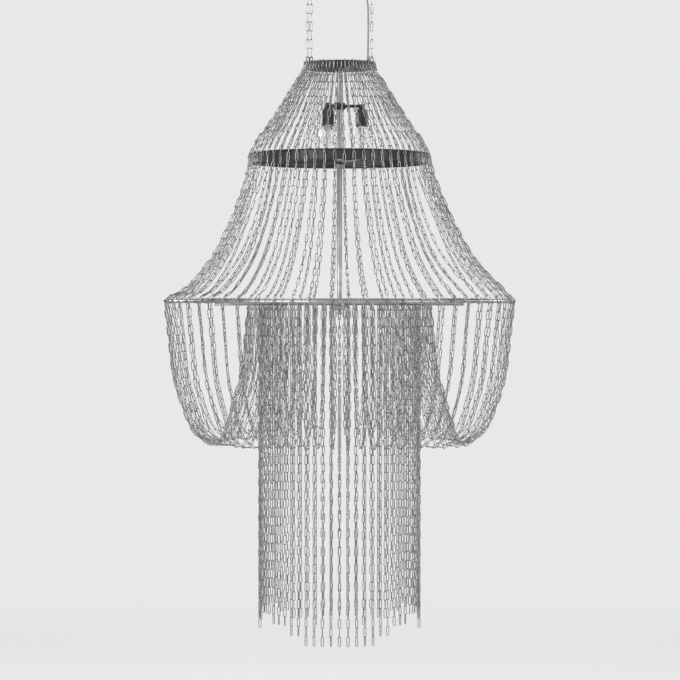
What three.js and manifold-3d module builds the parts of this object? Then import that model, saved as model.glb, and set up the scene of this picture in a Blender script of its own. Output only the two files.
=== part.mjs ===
// A ceiling chandelier of long-link steel chain. Two black hoops and a bright ring hang on
// three short chains; curtains of chain run from hoop to hoop, swag below the ring and come
// back up to an inner ring, and sixty straight drops hang in the middle.
// Millimetres, +Z up. The origin is the middle of the ceiling bracket's top face.
// The viewer stands on the -Y side.

import * as THREE from 'three';
import { mergeVertices } from 'three/addons/utils/BufferGeometryUtils.js';
import Module from 'manifold-3d';

const wasm = await Module();
wasm.setup();

// Shared clearances and overruns
const seatGap = 0.3;            // between pieces that rest on each other
const overlap = 0.25;           // how far fused wires press into each other
const cutOverrun = 1;           // how far a cutter passes a face
const weldSink = 0.6;           // how far a welded piece sinks into its partner

// Chain: one long-link size is used all over the chandelier
const wire = 2;                 // wire diameter of a link
const linkPitch = 22;           // inside length of a link
const linkWidth = 8;            // outside width of a link
const linkStationsPerEnd = 5;
const linkSides = 4;
const suspensionLinks = 7;      // links in each hanging chain
const strandWidth = 5;          // a strand's mean width, between a face-on and an edge-on link

// Ceiling fitting
const bracketEnd = 19.5;        // from the right hanger to the bracket's end
const bracketWidth = 26;
const bracketThickness = 3;
const bracketCorner = 4;
const canopyReach = 16;         // beyond each end of the bracket
const canopyWidth = 64;
const canopyDepth = 24;
const canopyWall = 1.5;
const canopyCorner = 14;
const screwHoleRadius = 2.5;
const screwSlotOffset = 44;     // from the middle to each ceiling screw's slot
const screwSlotLength = 12;
const slotEndShare = 0.98;      // of the slot's half width, so that its ends stay round

// Hangers: a countersunk shank, a collar under the canopy and a closed stirrup
const leftHangerInset = 12.1;   // from the top hoop's outside to the middle of the left hanger
const rightHangerInset = 6.5;
const twinGap = 0.7;            // between the two chains on the left
const shankRadius = 3;
const shankHeadRadius = 5.5;
const collarRadius = 7;
const collarHeight = 4;
const stirrupWire = 3.4;
const stirrupBend = 3;          // corner radius of the stirrup's wire, at its middle
const twinStirrupWidth = 14;    // inside, for the two chains on the left
const singleStirrupWidth = 5;
const stirrupInsideHeight = 15;
const hangerDrop = 54;          // from the ceiling to the middle of the stirrup's lower bar

// Lamp cable and its glands
const cableDiameter = 5;
const cableSides = 8;
const cableSteps = 18;
// The cable's route from the canopy down to the top hoop, as [x from the right hanger, y, z] points
const cablePoints = [
  [-16.5, 0, -18], [-16.5, 0, -27], [-16.3, 0.2, -36], [-14.9, 0.5, -46], [-12.9, 0.8, -56],
  [-10.9, 1, -67], [-9.5, 1.1, -79], [-8.9, 1.2, -92], [-8.7, 1.2, -106], [-8.6, 1.1, -120],
  [-8.7, 0.9, -135], [-8.9, 0.7, -150], [-9.1, 0.4, -164], [-9.3, 0.1, -177], [-9.3, 0, -189],
  [-9.3, 0, -201], [-9.3, 0, -212], [-9.3, 0, -221],
];
const glandBoreRadius = 2.8;
const glandThreadRadius = 3.4;
const glandThreadLength = 4;
const glandNutRadius = 4.4;
const glandNutLength = 9;
// The domed nut from its mouth up, as [of nut radius, of nut length]
const glandNutShares = [[0.76, 1], [0.92, 0.8], [1, 0.55], [1, 0]];

// Terminal block inside the canopy
const terminalLength = 26;
const terminalWidth = 14;
const terminalHeight = 12;
const terminalX = 20;
const terminalBore = 2;

// Top hoop, its crossbar and the three eyes that the chains hang on
const topHoopRadius = 87;       // outside of the band
const topHoopHeight = 15;
const bandThickness = 2.5;
const crossbarHeight = 8;
const crossbarWidth = 24;
const eyeWire = 2.2;
const eyeInsideRadius = 2.2;
const eyeRise = 20;             // from the crossbar's middle to the middle of the eye's top wire
const hoopSegments = 40;
const roundSides = 12;          // sides of small round pieces
const rodSides = 8;             // sides of rods and bores

// Middle hoop with three arms and a collar on the stem
const middleHoopRadius = 219.5;
const middleHoopHeight = 25;
const middleHoopDrop = 226;     // from the top hoop's upper edge to this one's
const middleArmHeight = 6;
const middleArmWidth = 10;
const middleArmAngles = [60, 180, 300];

// Outer ring: a bright tube, and the cross of four spokes below it
const outerRingRadius = 425;
const outerRingTube = 8;
const outerRingSides = 6;
const outerRingDrop = 588;      // from the top hoop's upper edge to the swag wire's middle
const spokeHeight = 8;
const spokeWidth = 3;
const spokeAngles = [46.5, 133.5, 226.5, 313.5];  // between the strands of swag and drop

// Inner rings
const swagRingRadius = 217;
const swagRingBar = 6;
const dropRingRadius = 200;
const dropRingBar = 3;

// Stem and hub
const stemRadius = 6.5;
const hubRadius = 22;
const hubHeight = 14;
const shoulderRadius = 12;
const shoulderHeight = 6;
const finialHeight = 16;
// The finial from its tip up to the hub, as [of hub radius, of finial height]
const finialShares = [[0, 1], [0.16, 0.94], [0.3, 0.66], [0.22, 0.4], [0.7, 0]];
const hubFlankShare = 0.3;      // of the hub's height, where it reaches full width

// Lamp cluster
const lampDrop = 107;           // from the top hoop's upper edge to the lamp arms
const lampArmReach = 56;
const lampArmRadius = 4;
const lampAngles = [0, 120, 240];
const lampHubRadius = 16;
const lampHubHeight = 18;
// The hub of the lamp arms, as [of its radius, of its height from the middle]
const lampHubShares = [[0, -0.5], [0.8, -0.5], [1, -0.3], [1, 0.3], [0.6, 0.5], [0, 0.5]];
const holderRadius = 13.5;
const holderHeight = 46;
const holderWall = 1.6;
// A lampholder's outside above its lip, as [of its radius, of its height]
const holderShares = [[0, 0], [0.6, 0], [1, 0.18], [1, 0.82]];
const holderLipShare = 0.86;
const cupShare = 0.55;          // of the holder's radius: the cup that carries it
const bulbRadius = 22.5;
const bulbNeckRadius = 10;
const bulbCapLength = 22;
const bulbSteps = 6;
// A bulb's contact and cap top, as [of its neck radius, of its cap length]
const bulbCapShares = [[0, 0], [0.45, 0], [0.7, 0.09], [1, 0.18], [1, 1]];
const bulbCentreShare = 1.12;   // of the bulb's radius, from the cap down to its middle
const bulbNeckAngle = 6;        // degrees by which the glass starts inside the neck

// Curtains of chain. Each strand is threaded on a wire that lies on its hoop.
const threadWire = 3;
const ringStrands = 60;
const strandPhase = 3;          // degrees from the front to the first strand of each curtain
const swagDepth = 372;          // from the outer ring down to the lowest point of a swag
// Where a strand runs between its ends: the drape as [way out, way up] from hoop to ring,
// the swag as [way out from the inner ring, way down]
const drapeShares = [[0.2, 0.66], [0.5, 0.31], [1, 0]];
const swagShares = [[0.96, 0.3], [0.83, 0.72], [0.56, 0.98], [0.29, 0.88], [0.09, 0.42]];

// Drops
const dropLinks = 38;           // links in the longest drop
const dropPairs = 30;
// Links missing from each drop, every six degrees from the front round to the back
const missingLinks = [
  0, 0, 0, 0, 0, 1, 1, 2, 2, 2, 3, 3, 3, 2, 1, 2,
  3, 3, 3, 3, 3, 3, 2, 2, 1, 1, 1, 0, 1, 1, 1,
];

// Worked-out places
const linkLength = linkPitch + 2 * wire;
const linkReach = linkPitch + wire - overlap;      // between the middles of a link's end wires
const fusedPitch = linkReach - wire + overlap;
const looseStep = linkReach - wire - seatGap;
const leftHangerX = leftHangerInset - topHoopRadius;
const rightHangerX = topHoopRadius - rightHangerInset;
const twinSpacing = linkWidth + twinGap;
const bracketLength = 2 * (rightHangerX + bracketEnd);
const canopyLength = bracketLength + 2 * canopyReach;
const barLevel = -hangerDrop;
const topLinkTop = barLevel + (stirrupWire + wire) / 2 + seatGap;
const chainTop = topLinkTop - looseStep;
const chainBottom = chainTop - (suspensionLinks - 2) * fusedPitch - linkReach;
const eyeLevel = chainBottom + (wire + eyeWire) / 2 + seatGap;
const crossbarLevel = eyeLevel - eyeRise;
const topHoopTop = crossbarLevel + crossbarHeight / 2;
const middleHoopTop = topHoopTop - middleHoopDrop;
const ringLevel = topHoopTop - outerRingDrop;
const outerTubeLevel = ringLevel - (threadWire + outerRingTube) / 2 - seatGap;
const spokeTop = outerTubeLevel - outerRingTube / 2 - seatGap;
const swagRingLevel = spokeTop + seatGap + swagRingBar / 2;
const dropRingLevel = spokeTop + seatGap + dropRingBar / 2;
const lampLevel = topHoopTop - lampDrop;
const eyePlaces = [leftHangerX - twinSpacing / 2, leftHangerX + twinSpacing / 2, rightHangerX];
const cableTopX = rightHangerX + cablePoints[0][0];
const cableLowX = rightHangerX + cablePoints.at(-1)[0];
const strandOffset = strandWidth + 2 * seatGap;    // from a threading wire out to its strands
const wireLift = seatGap + threadWire / 2;
const topWireRadius = topHoopRadius - bandThickness / 2;
const middleWireRadius = middleHoopRadius - bandThickness / 2;

const radians = THREE.MathUtils.degToRad;

// Materials
function metal(color, roughness, metalness = 1) {
  return new THREE.MeshStandardMaterial({ color, roughness, metalness });
}
const chainSteel = metal(0xb9b7b2, 0.34);
const ringSteel = metal(0xa9a8a5, 0.3);
const blackPaint = metal(0x1b1c1f, 0.5, 0.3);
const zincSteel = metal(0x9c9d9f, 0.45);
const canopySteel = metal(0xb4b2ae, 0.32);
const blackPlastic = metal(0x1d1d1d, 0.6, 0);
const whitePlastic = metal(0xd9d7d0, 0.55, 0);
const cablePlastic = metal(0xa7a6a2, 0.5, 0);
const bulbGlass = metal(0xf2ead8, 0.15, 0);

// Geometry helpers

/** Wraps positions and triangle indices in a BufferGeometry. */
function geometryOf(positions, indices) {
  const geometry = new THREE.BufferGeometry();
  geometry.setAttribute('position', new THREE.Float32BufferAttribute(positions, 3));
  geometry.setIndex(indices);
  return geometry;
}

/** Keeps the positions alone and merges what coincides. */
function bare(geometry) {
  const copy = geometry.clone();
  copy.deleteAttribute('normal');
  copy.deleteAttribute('uv');
  return mergeVertices(copy, 1e-4);
}

/** Turns the faces of a closed geometry outwards. */
function facingOut(geometry) {
  const mesh = bare(geometry);
  const p = mesh.getAttribute('position');
  const order = mesh.getIndex().array;
  const a = new THREE.Vector3();
  const b = new THREE.Vector3();
  const c = new THREE.Vector3();
  let volume = 0;
  for (let i = 0; i < order.length; i += 3) {
    a.fromBufferAttribute(p, order[i]);
    b.fromBufferAttribute(p, order[i + 1]);
    c.fromBufferAttribute(p, order[i + 2]);
    volume += a.dot(b.cross(c));
  }
  if (volume < 0) {
    for (let i = 0; i < order.length; i += 3) [order[i], order[i + 1]] = [order[i + 1], order[i]];
  }
  return mesh;
}

/** A manifold solid from a closed geometry. */
function solid(geometry) {
  const mesh = facingOut(geometry);
  return new wasm.Manifold(new wasm.Mesh({
    numProp: 3,
    vertProperties: new Float32Array(mesh.getAttribute('position').array),
    triVerts: new Uint32Array(mesh.getIndex().array),
  }));
}

/** The geometry of a manifold solid. */
function fromSolid(body) {
  const mesh = body.getMesh();
  return geometryOf(Array.from(mesh.vertProperties), Array.from(mesh.triVerts));
}

/** Joins closed geometries, then cuts others from the result. */
function build(parts, cutters = []) {
  let body = solid(parts[0]);
  for (const part of parts.slice(1)) body = body.add(solid(part));
  for (const cutter of cutters) body = body.subtract(solid(cutter));
  return fromSolid(body);
}

/** A solid of revolution about Z from [radius, height] pairs that form a closed outline. */
function revolve(outline, segments, phase = 0) {
  const points = outline.map(([r, z]) => new THREE.Vector2(r, z));
  if (outline.every(([r]) => r > 0)) points.push(points[0].clone());
  const geometry = new THREE.LatheGeometry(points, segments);
  geometry.rotateX(Math.PI / 2);
  geometry.rotateZ(phase);
  return facingOut(geometry);
}

/** A ring of round tube. */
function roundRing(radius, level, diameter, segments, sides) {
  const outline = [];
  for (let i = 0; i < sides; i += 1) {
    const t = ((i + 0.5) / sides) * 2 * Math.PI;
    outline.push([radius + (diameter / 2) * Math.cos(t), level + (diameter / 2) * Math.sin(t)]);
  }
  return revolve(outline, segments);
}

/** A ring of square bar. */
function squareRing(radius, level, size, segments, phase = 0) {
  const half = size / 2;
  return revolve([
    [radius - half, level - half], [radius + half, level - half],
    [radius + half, level + half], [radius - half, level + half],
  ], segments, phase);
}

/** A box between two corners. */
function box(x0, x1, y0, y1, z0, z1) {
  const geometry = new THREE.BoxGeometry(x1 - x0, y1 - y0, z1 - z0);
  geometry.translate((x0 + x1) / 2, (y0 + y1) / 2, (z0 + z1) / 2);
  return geometry;
}

/** An upright cylinder between two levels. */
function post(radius, z0, z1, segments, x = 0, y = 0) {
  const geometry = revolve([[0, z0], [radius, z0], [radius, z1], [0, z1]], segments);
  geometry.translate(x, y, 0);
  return geometry;
}

/** A closed loop of wire in the XZ plane, through stations { x, z, out: [x, z] }. */
function wireLoop(stations, diameter, sides) {
  const positions = [];
  const indices = [];
  for (const { x, z, out } of stations) {
    for (let s = 0; s < sides; s += 1) {
      const t = Math.PI + (s / sides) * 2 * Math.PI;
      const inPlane = (diameter / 2) * Math.cos(t);
      positions.push(x + out[0] * inPlane, (diameter / 2) * Math.sin(t), z + out[1] * inPlane);
    }
  }
  const count = stations.length;
  for (let i = 0; i < count; i += 1) {
    const next = (i + 1) % count;
    for (let s = 0; s < sides; s += 1) {
      const side = (s + 1) % sides;
      const a = i * sides + s;
      const b = next * sides + s;
      const c = next * sides + side;
      const d = i * sides + side;
      indices.push(a, b, c, a, c, d);
    }
  }
  return facingOut(geometryOf(positions, indices));
}

/** Stations of an oval: two half circles joined by straight sides, upright in XZ. */
function oval(reach, width, perEnd) {
  const radius = width / 2;
  const straight = reach - width;
  const stations = [];
  for (const [end, start] of [[1, 0], [-1, Math.PI]]) {
    for (let i = 0; i < perEnd; i += 1) {
      const t = start + (i / (perEnd - 1)) * Math.PI;
      const out = [Math.cos(t), Math.sin(t)];
      stations.push({ x: radius * out[0], z: (end * straight) / 2 + radius * out[1], out });
    }
  }
  return stations;
}

/** One chain link, its end wires' middles linkReach apart, hanging down from z = 0. */
function link(turned) {
  const geometry = wireLoop(oval(linkReach, linkWidth - wire, linkStationsPerEnd), wire, linkSides);
  geometry.translate(0, 0, -linkReach / 2);
  if (turned) geometry.rotateZ(Math.PI / 2);
  return geometry;
}

/** A run of links that press into each other, hanging down from z = 0. */
function chainRun(count, firstTurned) {
  const links = [];
  for (let i = 0; i < count; i += 1) {
    const one = link((i % 2 === 0) === firstTurned);
    one.translate(0, 0, -i * fusedPitch);
    links.push(one);
  }
  return build(links);
}

/** Puts a named mesh into a group. */
function piece(group, name, geometry, material, place = [0, 0, 0]) {
  const mesh = new THREE.Mesh(geometry, material);
  mesh.name = name;
  mesh.position.set(...place);
  group.add(mesh);
  return mesh;
}

// Ceiling fitting

/** A rectangle with round corners. */
function roundedRectangle(length, width, corner) {
  const x = length / 2;
  const y = width / 2;
  const shape = new THREE.Shape();
  shape.moveTo(-x + corner, -y);
  shape.lineTo(x - corner, -y);
  shape.absarc(x - corner, -y + corner, corner, -Math.PI / 2, 0);
  shape.absarc(x - corner, y - corner, corner, 0, Math.PI / 2);
  shape.absarc(-x + corner, y - corner, corner, Math.PI / 2, Math.PI);
  shape.absarc(-x + corner, -y + corner, corner, Math.PI, 1.5 * Math.PI);
  return shape;
}

/** A plate of the shape between two levels. */
function plate(shape, z0, z1, curveSegments) {
  const geometry = new THREE.ExtrudeGeometry(shape, {
    depth: z1 - z0, bevelEnabled: false, curveSegments,
  });
  geometry.translate(0, 0, z0);
  return geometry;
}

/** The steel strip on the ceiling: countersunk holes for the hangers, slots for screws. */
function ceilingBracket() {
  const slab = plate(
    roundedRectangle(bracketLength, bracketWidth, bracketCorner), -bracketThickness, 0, 2);
  const cutters = [leftHangerX, rightHangerX].map((x) => {
    const hole = revolve(shankHole(), roundSides);
    hole.translate(x, 0, 0);
    return hole;
  });
  for (const side of [-1, 1]) {
    const slot = plate(
      roundedRectangle(screwSlotLength, 2 * screwHoleRadius, screwHoleRadius * slotEndShare),
      -bracketThickness - cutOverrun, cutOverrun, 2);
    slot.translate(side * screwSlotOffset, 0, 0);
    cutters.push(slot);
  }
  return build([slab], cutters);
}

/** Outline of a hanger's countersunk hole in the bracket. */
function shankHole() {
  const bore = shankRadius + seatGap;
  return [
    [0, -bracketThickness - cutOverrun], [bore, -bracketThickness - cutOverrun],
    [bore, -bracketThickness], [shankHeadRadius + seatGap, 0],
    [shankHeadRadius + seatGap, cutOverrun], [0, cutOverrun],
  ];
}

/** The canopy: an open-topped pressed cover with holes for two shanks and the gland. */
function ceilingCanopy() {
  const outer = plate(roundedRectangle(canopyLength, canopyWidth, canopyCorner), -canopyDepth, 0, 4);
  const inner = plate(
    roundedRectangle(canopyLength - 2 * canopyWall, canopyWidth - 2 * canopyWall,
      canopyCorner - canopyWall),
    -canopyDepth + canopyWall, cutOverrun, 4);
  const floorLow = -canopyDepth - cutOverrun;
  const floorHigh = -canopyDepth + canopyWall + cutOverrun;
  const holes = [leftHangerX, rightHangerX].map(
    (x) => post(shankRadius + seatGap, floorLow, floorHigh, roundSides, x));
  holes.push(post(glandThreadRadius + seatGap, floorLow, floorHigh, roundSides, cableTopX));
  return build([outer], [inner, ...holes]);
}

/** A hanger: countersunk head, shank, collar and a stirrup whose lower bar runs along X. */
function hanger(insideWidth) {
  const collarTop = -canopyDepth - seatGap;
  const collarBottom = collarTop - collarHeight;
  const headLow = -bracketThickness;
  const stirrupTop = barLevel + stirrupInsideHeight + stirrupWire;
  const shank = revolve([
    [0, stirrupTop - weldSink], [shankRadius, stirrupTop - weldSink], [shankRadius, collarBottom],
    [collarRadius, collarBottom], [collarRadius, collarTop], [shankRadius, collarTop],
    [shankRadius, headLow], [shankHeadRadius, -seatGap], [0, -seatGap],
  ], roundSides);
  const halfWidth = (insideWidth + stirrupWire) / 2;
  const height = stirrupInsideHeight + stirrupWire;
  // Each corner of the stirrup has two stations, an eighth of a turn apart
  const stations = [];
  const quarters = [[1, 1], [-1, 1], [-1, -1], [1, -1]];
  quarters.forEach(([sx, sz], quarter) => {
    for (const eighth of [0.5, 1.5]) {
      const t = (quarter / 4 + eighth / 8) * 2 * Math.PI;
      const out = [Math.cos(t), Math.sin(t)];
      stations.push({
        x: sx * (halfWidth - stirrupBend) + stirrupBend * out[0],
        z: barLevel + height / 2 + sz * (height / 2 - stirrupBend) + stirrupBend * out[1],
        out,
      });
    }
  });
  return build([shank, wireLoop(stations, stirrupWire, roundSides / 2)]);
}

/** A cable gland, open right through: its thread above z = 0 and its domed nut below. */
function gland() {
  return revolve([
    [glandBoreRadius, -glandNutLength],
    ...glandNutShares.map(([out, down]) => [glandNutRadius * out, -glandNutLength * down]),
    [glandThreadRadius, 0], [glandThreadRadius, glandThreadLength],
    [glandBoreRadius, glandThreadLength],
  ], roundSides);
}

/** A two-pole terminal block with through bores. */
function terminalBlock() {
  const top = -bracketThickness - seatGap;
  const body = box(terminalX - terminalLength / 2, terminalX + terminalLength / 2,
    -terminalWidth / 2, terminalWidth / 2, top - terminalHeight, top);
  const bores = [-1, 1].map((side) => {
    const bore = post(terminalBore, -terminalWidth, terminalWidth, rodSides);
    bore.rotateX(Math.PI / 2);
    bore.translate(terminalX + (side * terminalLength) / 4, 0, top - terminalHeight / 2);
    return bore;
  });
  return build([body], bores);
}

// Lamp cable

/** The hanging stretch of cable: a tube along its route. */
function hangingCable() {
  const section = new THREE.Shape();
  for (let i = 0; i < cableSides; i += 1) {
    const t = (i / cableSides) * 2 * Math.PI;
    const corner = [(cableDiameter / 2) * Math.cos(t), (cableDiameter / 2) * Math.sin(t)];
    if (i === 0) section.moveTo(...corner);
    else section.lineTo(...corner);
  }
  section.closePath();
  const route = new THREE.CatmullRomCurve3(
    cablePoints.map(([x, y, z]) => new THREE.Vector3(rightHangerX + x, y, z)));
  return facingOut(new THREE.ExtrudeGeometry(section, {
    extrudePath: route, steps: cableSteps, bevelEnabled: false,
  }));
}

// Hoops, rings and the inner frame

/** A bar between two radii at an angle, centred on a level. */
function radialBar(r0, r1, width, height, level, angle) {
  const bar = box(r0, r1, -width / 2, width / 2, level - height / 2, level + height / 2);
  bar.rotateZ(radians(angle));
  return bar;
}

/** A flat hoop: an upright band of steel strip. */
function band(radius, top, height, segments) {
  return revolve([
    [radius - bandThickness, top - height], [radius, top - height],
    [radius, top], [radius - bandThickness, top],
  ], segments);
}

/** The top hoop, with its crossbar, the stem's socket and three eyes. */
function topHoop() {
  const inside = topHoopRadius - bandThickness / 2;
  const bar = box(-inside, inside, -crossbarWidth / 2, crossbarWidth / 2,
    crossbarLevel - crossbarHeight / 2, crossbarLevel + crossbarHeight / 2);
  const socket = post(stemRadius + 2 * bandThickness, crossbarLevel - 2 * crossbarHeight,
    crossbarLevel, roundSides);
  const eyeReach = eyeRise - crossbarHeight / 2 + eyeWire / 2 - weldSink;
  const eyes = eyePlaces.map((x) => {
    const eye = wireLoop(oval(eyeReach, 2 * eyeInsideRadius + eyeWire, linkStationsPerEnd),
      eyeWire, linkSides);
    eye.translate(x, 0, eyeLevel - eyeReach / 2);
    return eye;
  });
  const stemBore = post(stemRadius + seatGap, crossbarLevel - 3 * crossbarHeight,
    crossbarLevel - crossbarHeight / 2 - seatGap, roundSides);
  const cableHole = post(glandThreadRadius + seatGap, crossbarLevel - crossbarHeight,
    crossbarLevel + crossbarHeight, roundSides, cableLowX);
  return build([band(topHoopRadius, topHoopTop, topHoopHeight, hoopSegments), bar, socket, ...eyes],
    [stemBore, cableHole]);
}

/** The middle hoop with three arms that meet in a collar round the stem. */
function middleHoop() {
  const armLevel = middleHoopTop - middleHoopHeight + middleArmHeight / 2;
  const arms = middleArmAngles.map((angle) => radialBar(
    stemRadius + bandThickness, middleHoopRadius - bandThickness / 2,
    middleArmWidth, middleArmHeight, armLevel, angle));
  const collar = post(shoulderRadius, armLevel - middleArmHeight / 2 - weldSink,
    armLevel + middleArmHeight / 2 + weldSink, roundSides);
  const bore = post(stemRadius + seatGap, armLevel - middleArmHeight, armLevel + middleArmHeight,
    roundSides);
  const hoop = band(middleHoopRadius, middleHoopTop, middleHoopHeight, hoopSegments);
  return build([hoop, collar, ...arms], [bore]);
}

/** The cross of four spokes that carries the three lower rings, with its hub. */
function lowerSpider() {
  const level = spokeTop - spokeHeight / 2;
  const spokes = spokeAngles.map((angle) => radialBar(
    hubRadius / 2, outerRingRadius + outerRingTube / 2, spokeWidth, spokeHeight, level, angle));
  const hubLow = spokeTop - hubHeight;
  const hub = revolve([
    ...finialShares.map(([out, down]) => [hubRadius * out, hubLow - finialHeight * down]),
    [hubRadius, hubLow + hubHeight * hubFlankShare], [hubRadius, spokeTop], [0, spokeTop],
  ], roundSides);
  return build([hub, ...spokes]);
}

/** The stem: a tube's outside with two shoulders, the lamp hub and its three straight arms. */
function lampStem() {
  const top = crossbarLevel - crossbarHeight / 2 - 2 * seatGap;
  const bottom = spokeTop + seatGap;
  const middleSeat = middleHoopTop - middleHoopHeight - weldSink - seatGap;
  const tube = revolve([
    [0, bottom], [shoulderRadius, bottom], [shoulderRadius, bottom + shoulderHeight],
    [stemRadius, bottom + 2 * shoulderHeight], [stemRadius, middleSeat - 2 * shoulderHeight],
    [shoulderRadius, middleSeat - shoulderHeight], [shoulderRadius, middleSeat],
    [stemRadius, middleSeat], [stemRadius, top], [0, top],
  ], roundSides);
  const hub = revolve(lampHubShares.map(
    ([out, up]) => [lampHubRadius * out, lampLevel + lampHubHeight * up]), roundSides);
  const arms = lampAngles.map((angle) => {
    const arm = post(lampArmRadius, lampHubRadius / 2, lampArmReach, rodSides);
    arm.rotateY(Math.PI / 2);
    arm.translate(0, 0, lampLevel);
    arm.rotateZ(radians(angle));
    return arm;
  });
  const cups = lampAngles.map((angle) => {
    const cup = post(holderRadius * cupShare, lampLevel - lampArmRadius - weldSink,
      lampLevel + lampArmRadius + weldSink, roundSides, lampArmReach);
    cup.rotateZ(radians(angle));
    return cup;
  });
  return build([tube, hub, ...arms, ...cups]);
}

/** A lampholder: a cup open at the bottom, hanging from z = 0. */
function lampholder() {
  const inner = holderRadius - holderWall;
  const seat = -holderHeight + bulbCapLength + holderWall;
  return revolve([
    ...holderShares.map(([out, down]) => [holderRadius * out, -holderHeight * down]),
    [holderRadius + holderWall, -holderHeight * holderLipShare],
    [holderRadius + holderWall, -holderHeight], [inner, -holderHeight], [inner, seat], [0, seat],
  ], roundSides);
}

/** A round lamp bulb with its screw cap, hanging from the cap's contact at z = 0. */
function bulb() {
  const outline = bulbCapShares.map(([out, down]) => [bulbNeckRadius * out, -bulbCapLength * down]);
  const centre = -bulbCapLength - bulbRadius * bulbCentreShare;
  const start = Math.acos(bulbNeckRadius / bulbRadius) + radians(bulbNeckAngle);
  for (let i = 0; i <= bulbSteps; i += 1) {
    const t = THREE.MathUtils.lerp(start, -Math.PI / 2, i / bulbSteps);
    const r = i === bulbSteps ? 0 : bulbRadius * Math.cos(t);
    outline.push([r, centre + bulbRadius * Math.sin(t)]);
  }
  return revolve(outline, roundSides);
}

// Curtains

/**
 * A threading wire with a strand growing from its outer face at each step of the circle.
 * The path holds a strand's [radius, height] stations after the wire, in order.
 */
function curtain({ radius, level, count, phase, path }) {
  const positions = [];
  const indices = [];
  const quad = (a, b, c, d) => indices.push(a, b, c, a, c, d);
  const half = threadWire / 2;
  const corners = [[-half, 0], [half, -half], [half, half]];
  const point = (r, along, z, angle) => {
    const across = [Math.sin(angle), -Math.cos(angle)];
    const tangent = [Math.cos(angle), Math.sin(angle)];
    positions.push(across[0] * r + tangent[0] * along, across[1] * r + tangent[1] * along, z);
    return positions.length / 3 - 1;
  };
  const angles = [];
  for (let i = 0; i < count; i += 1) angles.push(radians(phase + (i * 360) / count));
  const edge = strandWidth / 2;
  // Two stations of the wire for each strand: the strand's two edges
  const stations = angles.flatMap((angle) => [-edge, edge].map(
    (along) => corners.map(([dr, dz]) => point(radius + dr, along, level + dz, angle))));
  stations.forEach((station, i) => {
    const next = stations[(i + 1) % stations.length];
    for (let s = 0; s < 3; s += 1) {
      const side = (s + 1) % 3;
      const isRoot = i % 2 === 0 && s === 1;
      if (!isRoot) quad(station[s], next[s], next[side], station[side]);
    }
  });
  angles.forEach((angle, i) => {
    const [left, right] = [stations[2 * i], stations[2 * i + 1]];
    // Half of the outer face stays; the strand grows from the other half
    indices.push(left[1], right[1], right[2]);
    let ring = [left[1], left[2], right[2]];
    const line = [[radius + half, level], ...path];
    path.forEach(([r, z], k) => {
      const before = line[k];
      const after = line[Math.min(k + 2, line.length - 1)];
      const length = Math.hypot(after[0] - before[0], after[1] - before[1]);
      const normal = [-(after[1] - before[1]) / length, (after[0] - before[0]) / length];
      const depth = strandWidth / 2;
      const inner = point(r - normal[0] * depth, 0, z - normal[1] * depth, angle);
      const outLeft = point(r + normal[0] * depth, -edge, z + normal[1] * depth, angle);
      const outRight = point(r + normal[0] * depth, edge, z + normal[1] * depth, angle);
      const next = [inner, outLeft, outRight];
      for (let s = 0; s < 3; s += 1) {
        const side = (s + 1) % 3;
        quad(ring[s], next[s], next[side], ring[side]);
      }
      ring = next;
    });
    indices.push(ring[2], ring[1], ring[0]);
  });
  return facingOut(geometryOf(positions, indices));
}

/** The cone: straight strands from the top hoop out to the middle hoop. */
function coneCurtain() {
  return curtain({
    radius: topWireRadius,
    level: topHoopTop + wireLift,
    count: ringStrands,
    phase: strandPhase,
    path: [
      [topWireRadius + strandWidth, topHoopTop],
      [middleWireRadius + seatGap, middleHoopTop + wireLift + threadWire / 2 + strandWidth / 2],
    ],
  });
}

/** The drape: strands that fall beside the middle hoop and sweep out to the outer ring. */
function drapeCurtain() {
  const start = middleWireRadius + threadWire / 2;
  const end = outerRingRadius;
  const top = middleHoopTop + wireLift;
  const low = ringLevel + threadWire / 2 + strandWidth / 2 + seatGap;
  return curtain({
    radius: middleWireRadius,
    level: top,
    count: ringStrands,
    phase: strandPhase,
    path: [
      [start + strandOffset, top - seatGap],
      ...drapeShares.map(([out, up]) => [
        THREE.MathUtils.lerp(start, end, out), THREE.MathUtils.lerp(low, top, up)]),
    ],
  });
}

/** The swags: strands that hang from the outer ring and rise to the inner one. */
function swagCurtain() {
  const outer = outerRingRadius + threadWire / 2 + strandOffset;
  const inner = swagRingRadius + swagRingBar / 2 + strandWidth / 2 + 2 * seatGap;
  return curtain({
    radius: outerRingRadius,
    level: ringLevel,
    count: ringStrands,
    phase: strandPhase,
    path: [
      [outer - seatGap, ringLevel + seatGap],
      ...swagShares.map(([out, down]) => [
        THREE.MathUtils.lerp(inner, outer, out), ringLevel - swagDepth * down]),
      [inner, swagRingLevel],
    ],
  });
}

// Drops

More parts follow.
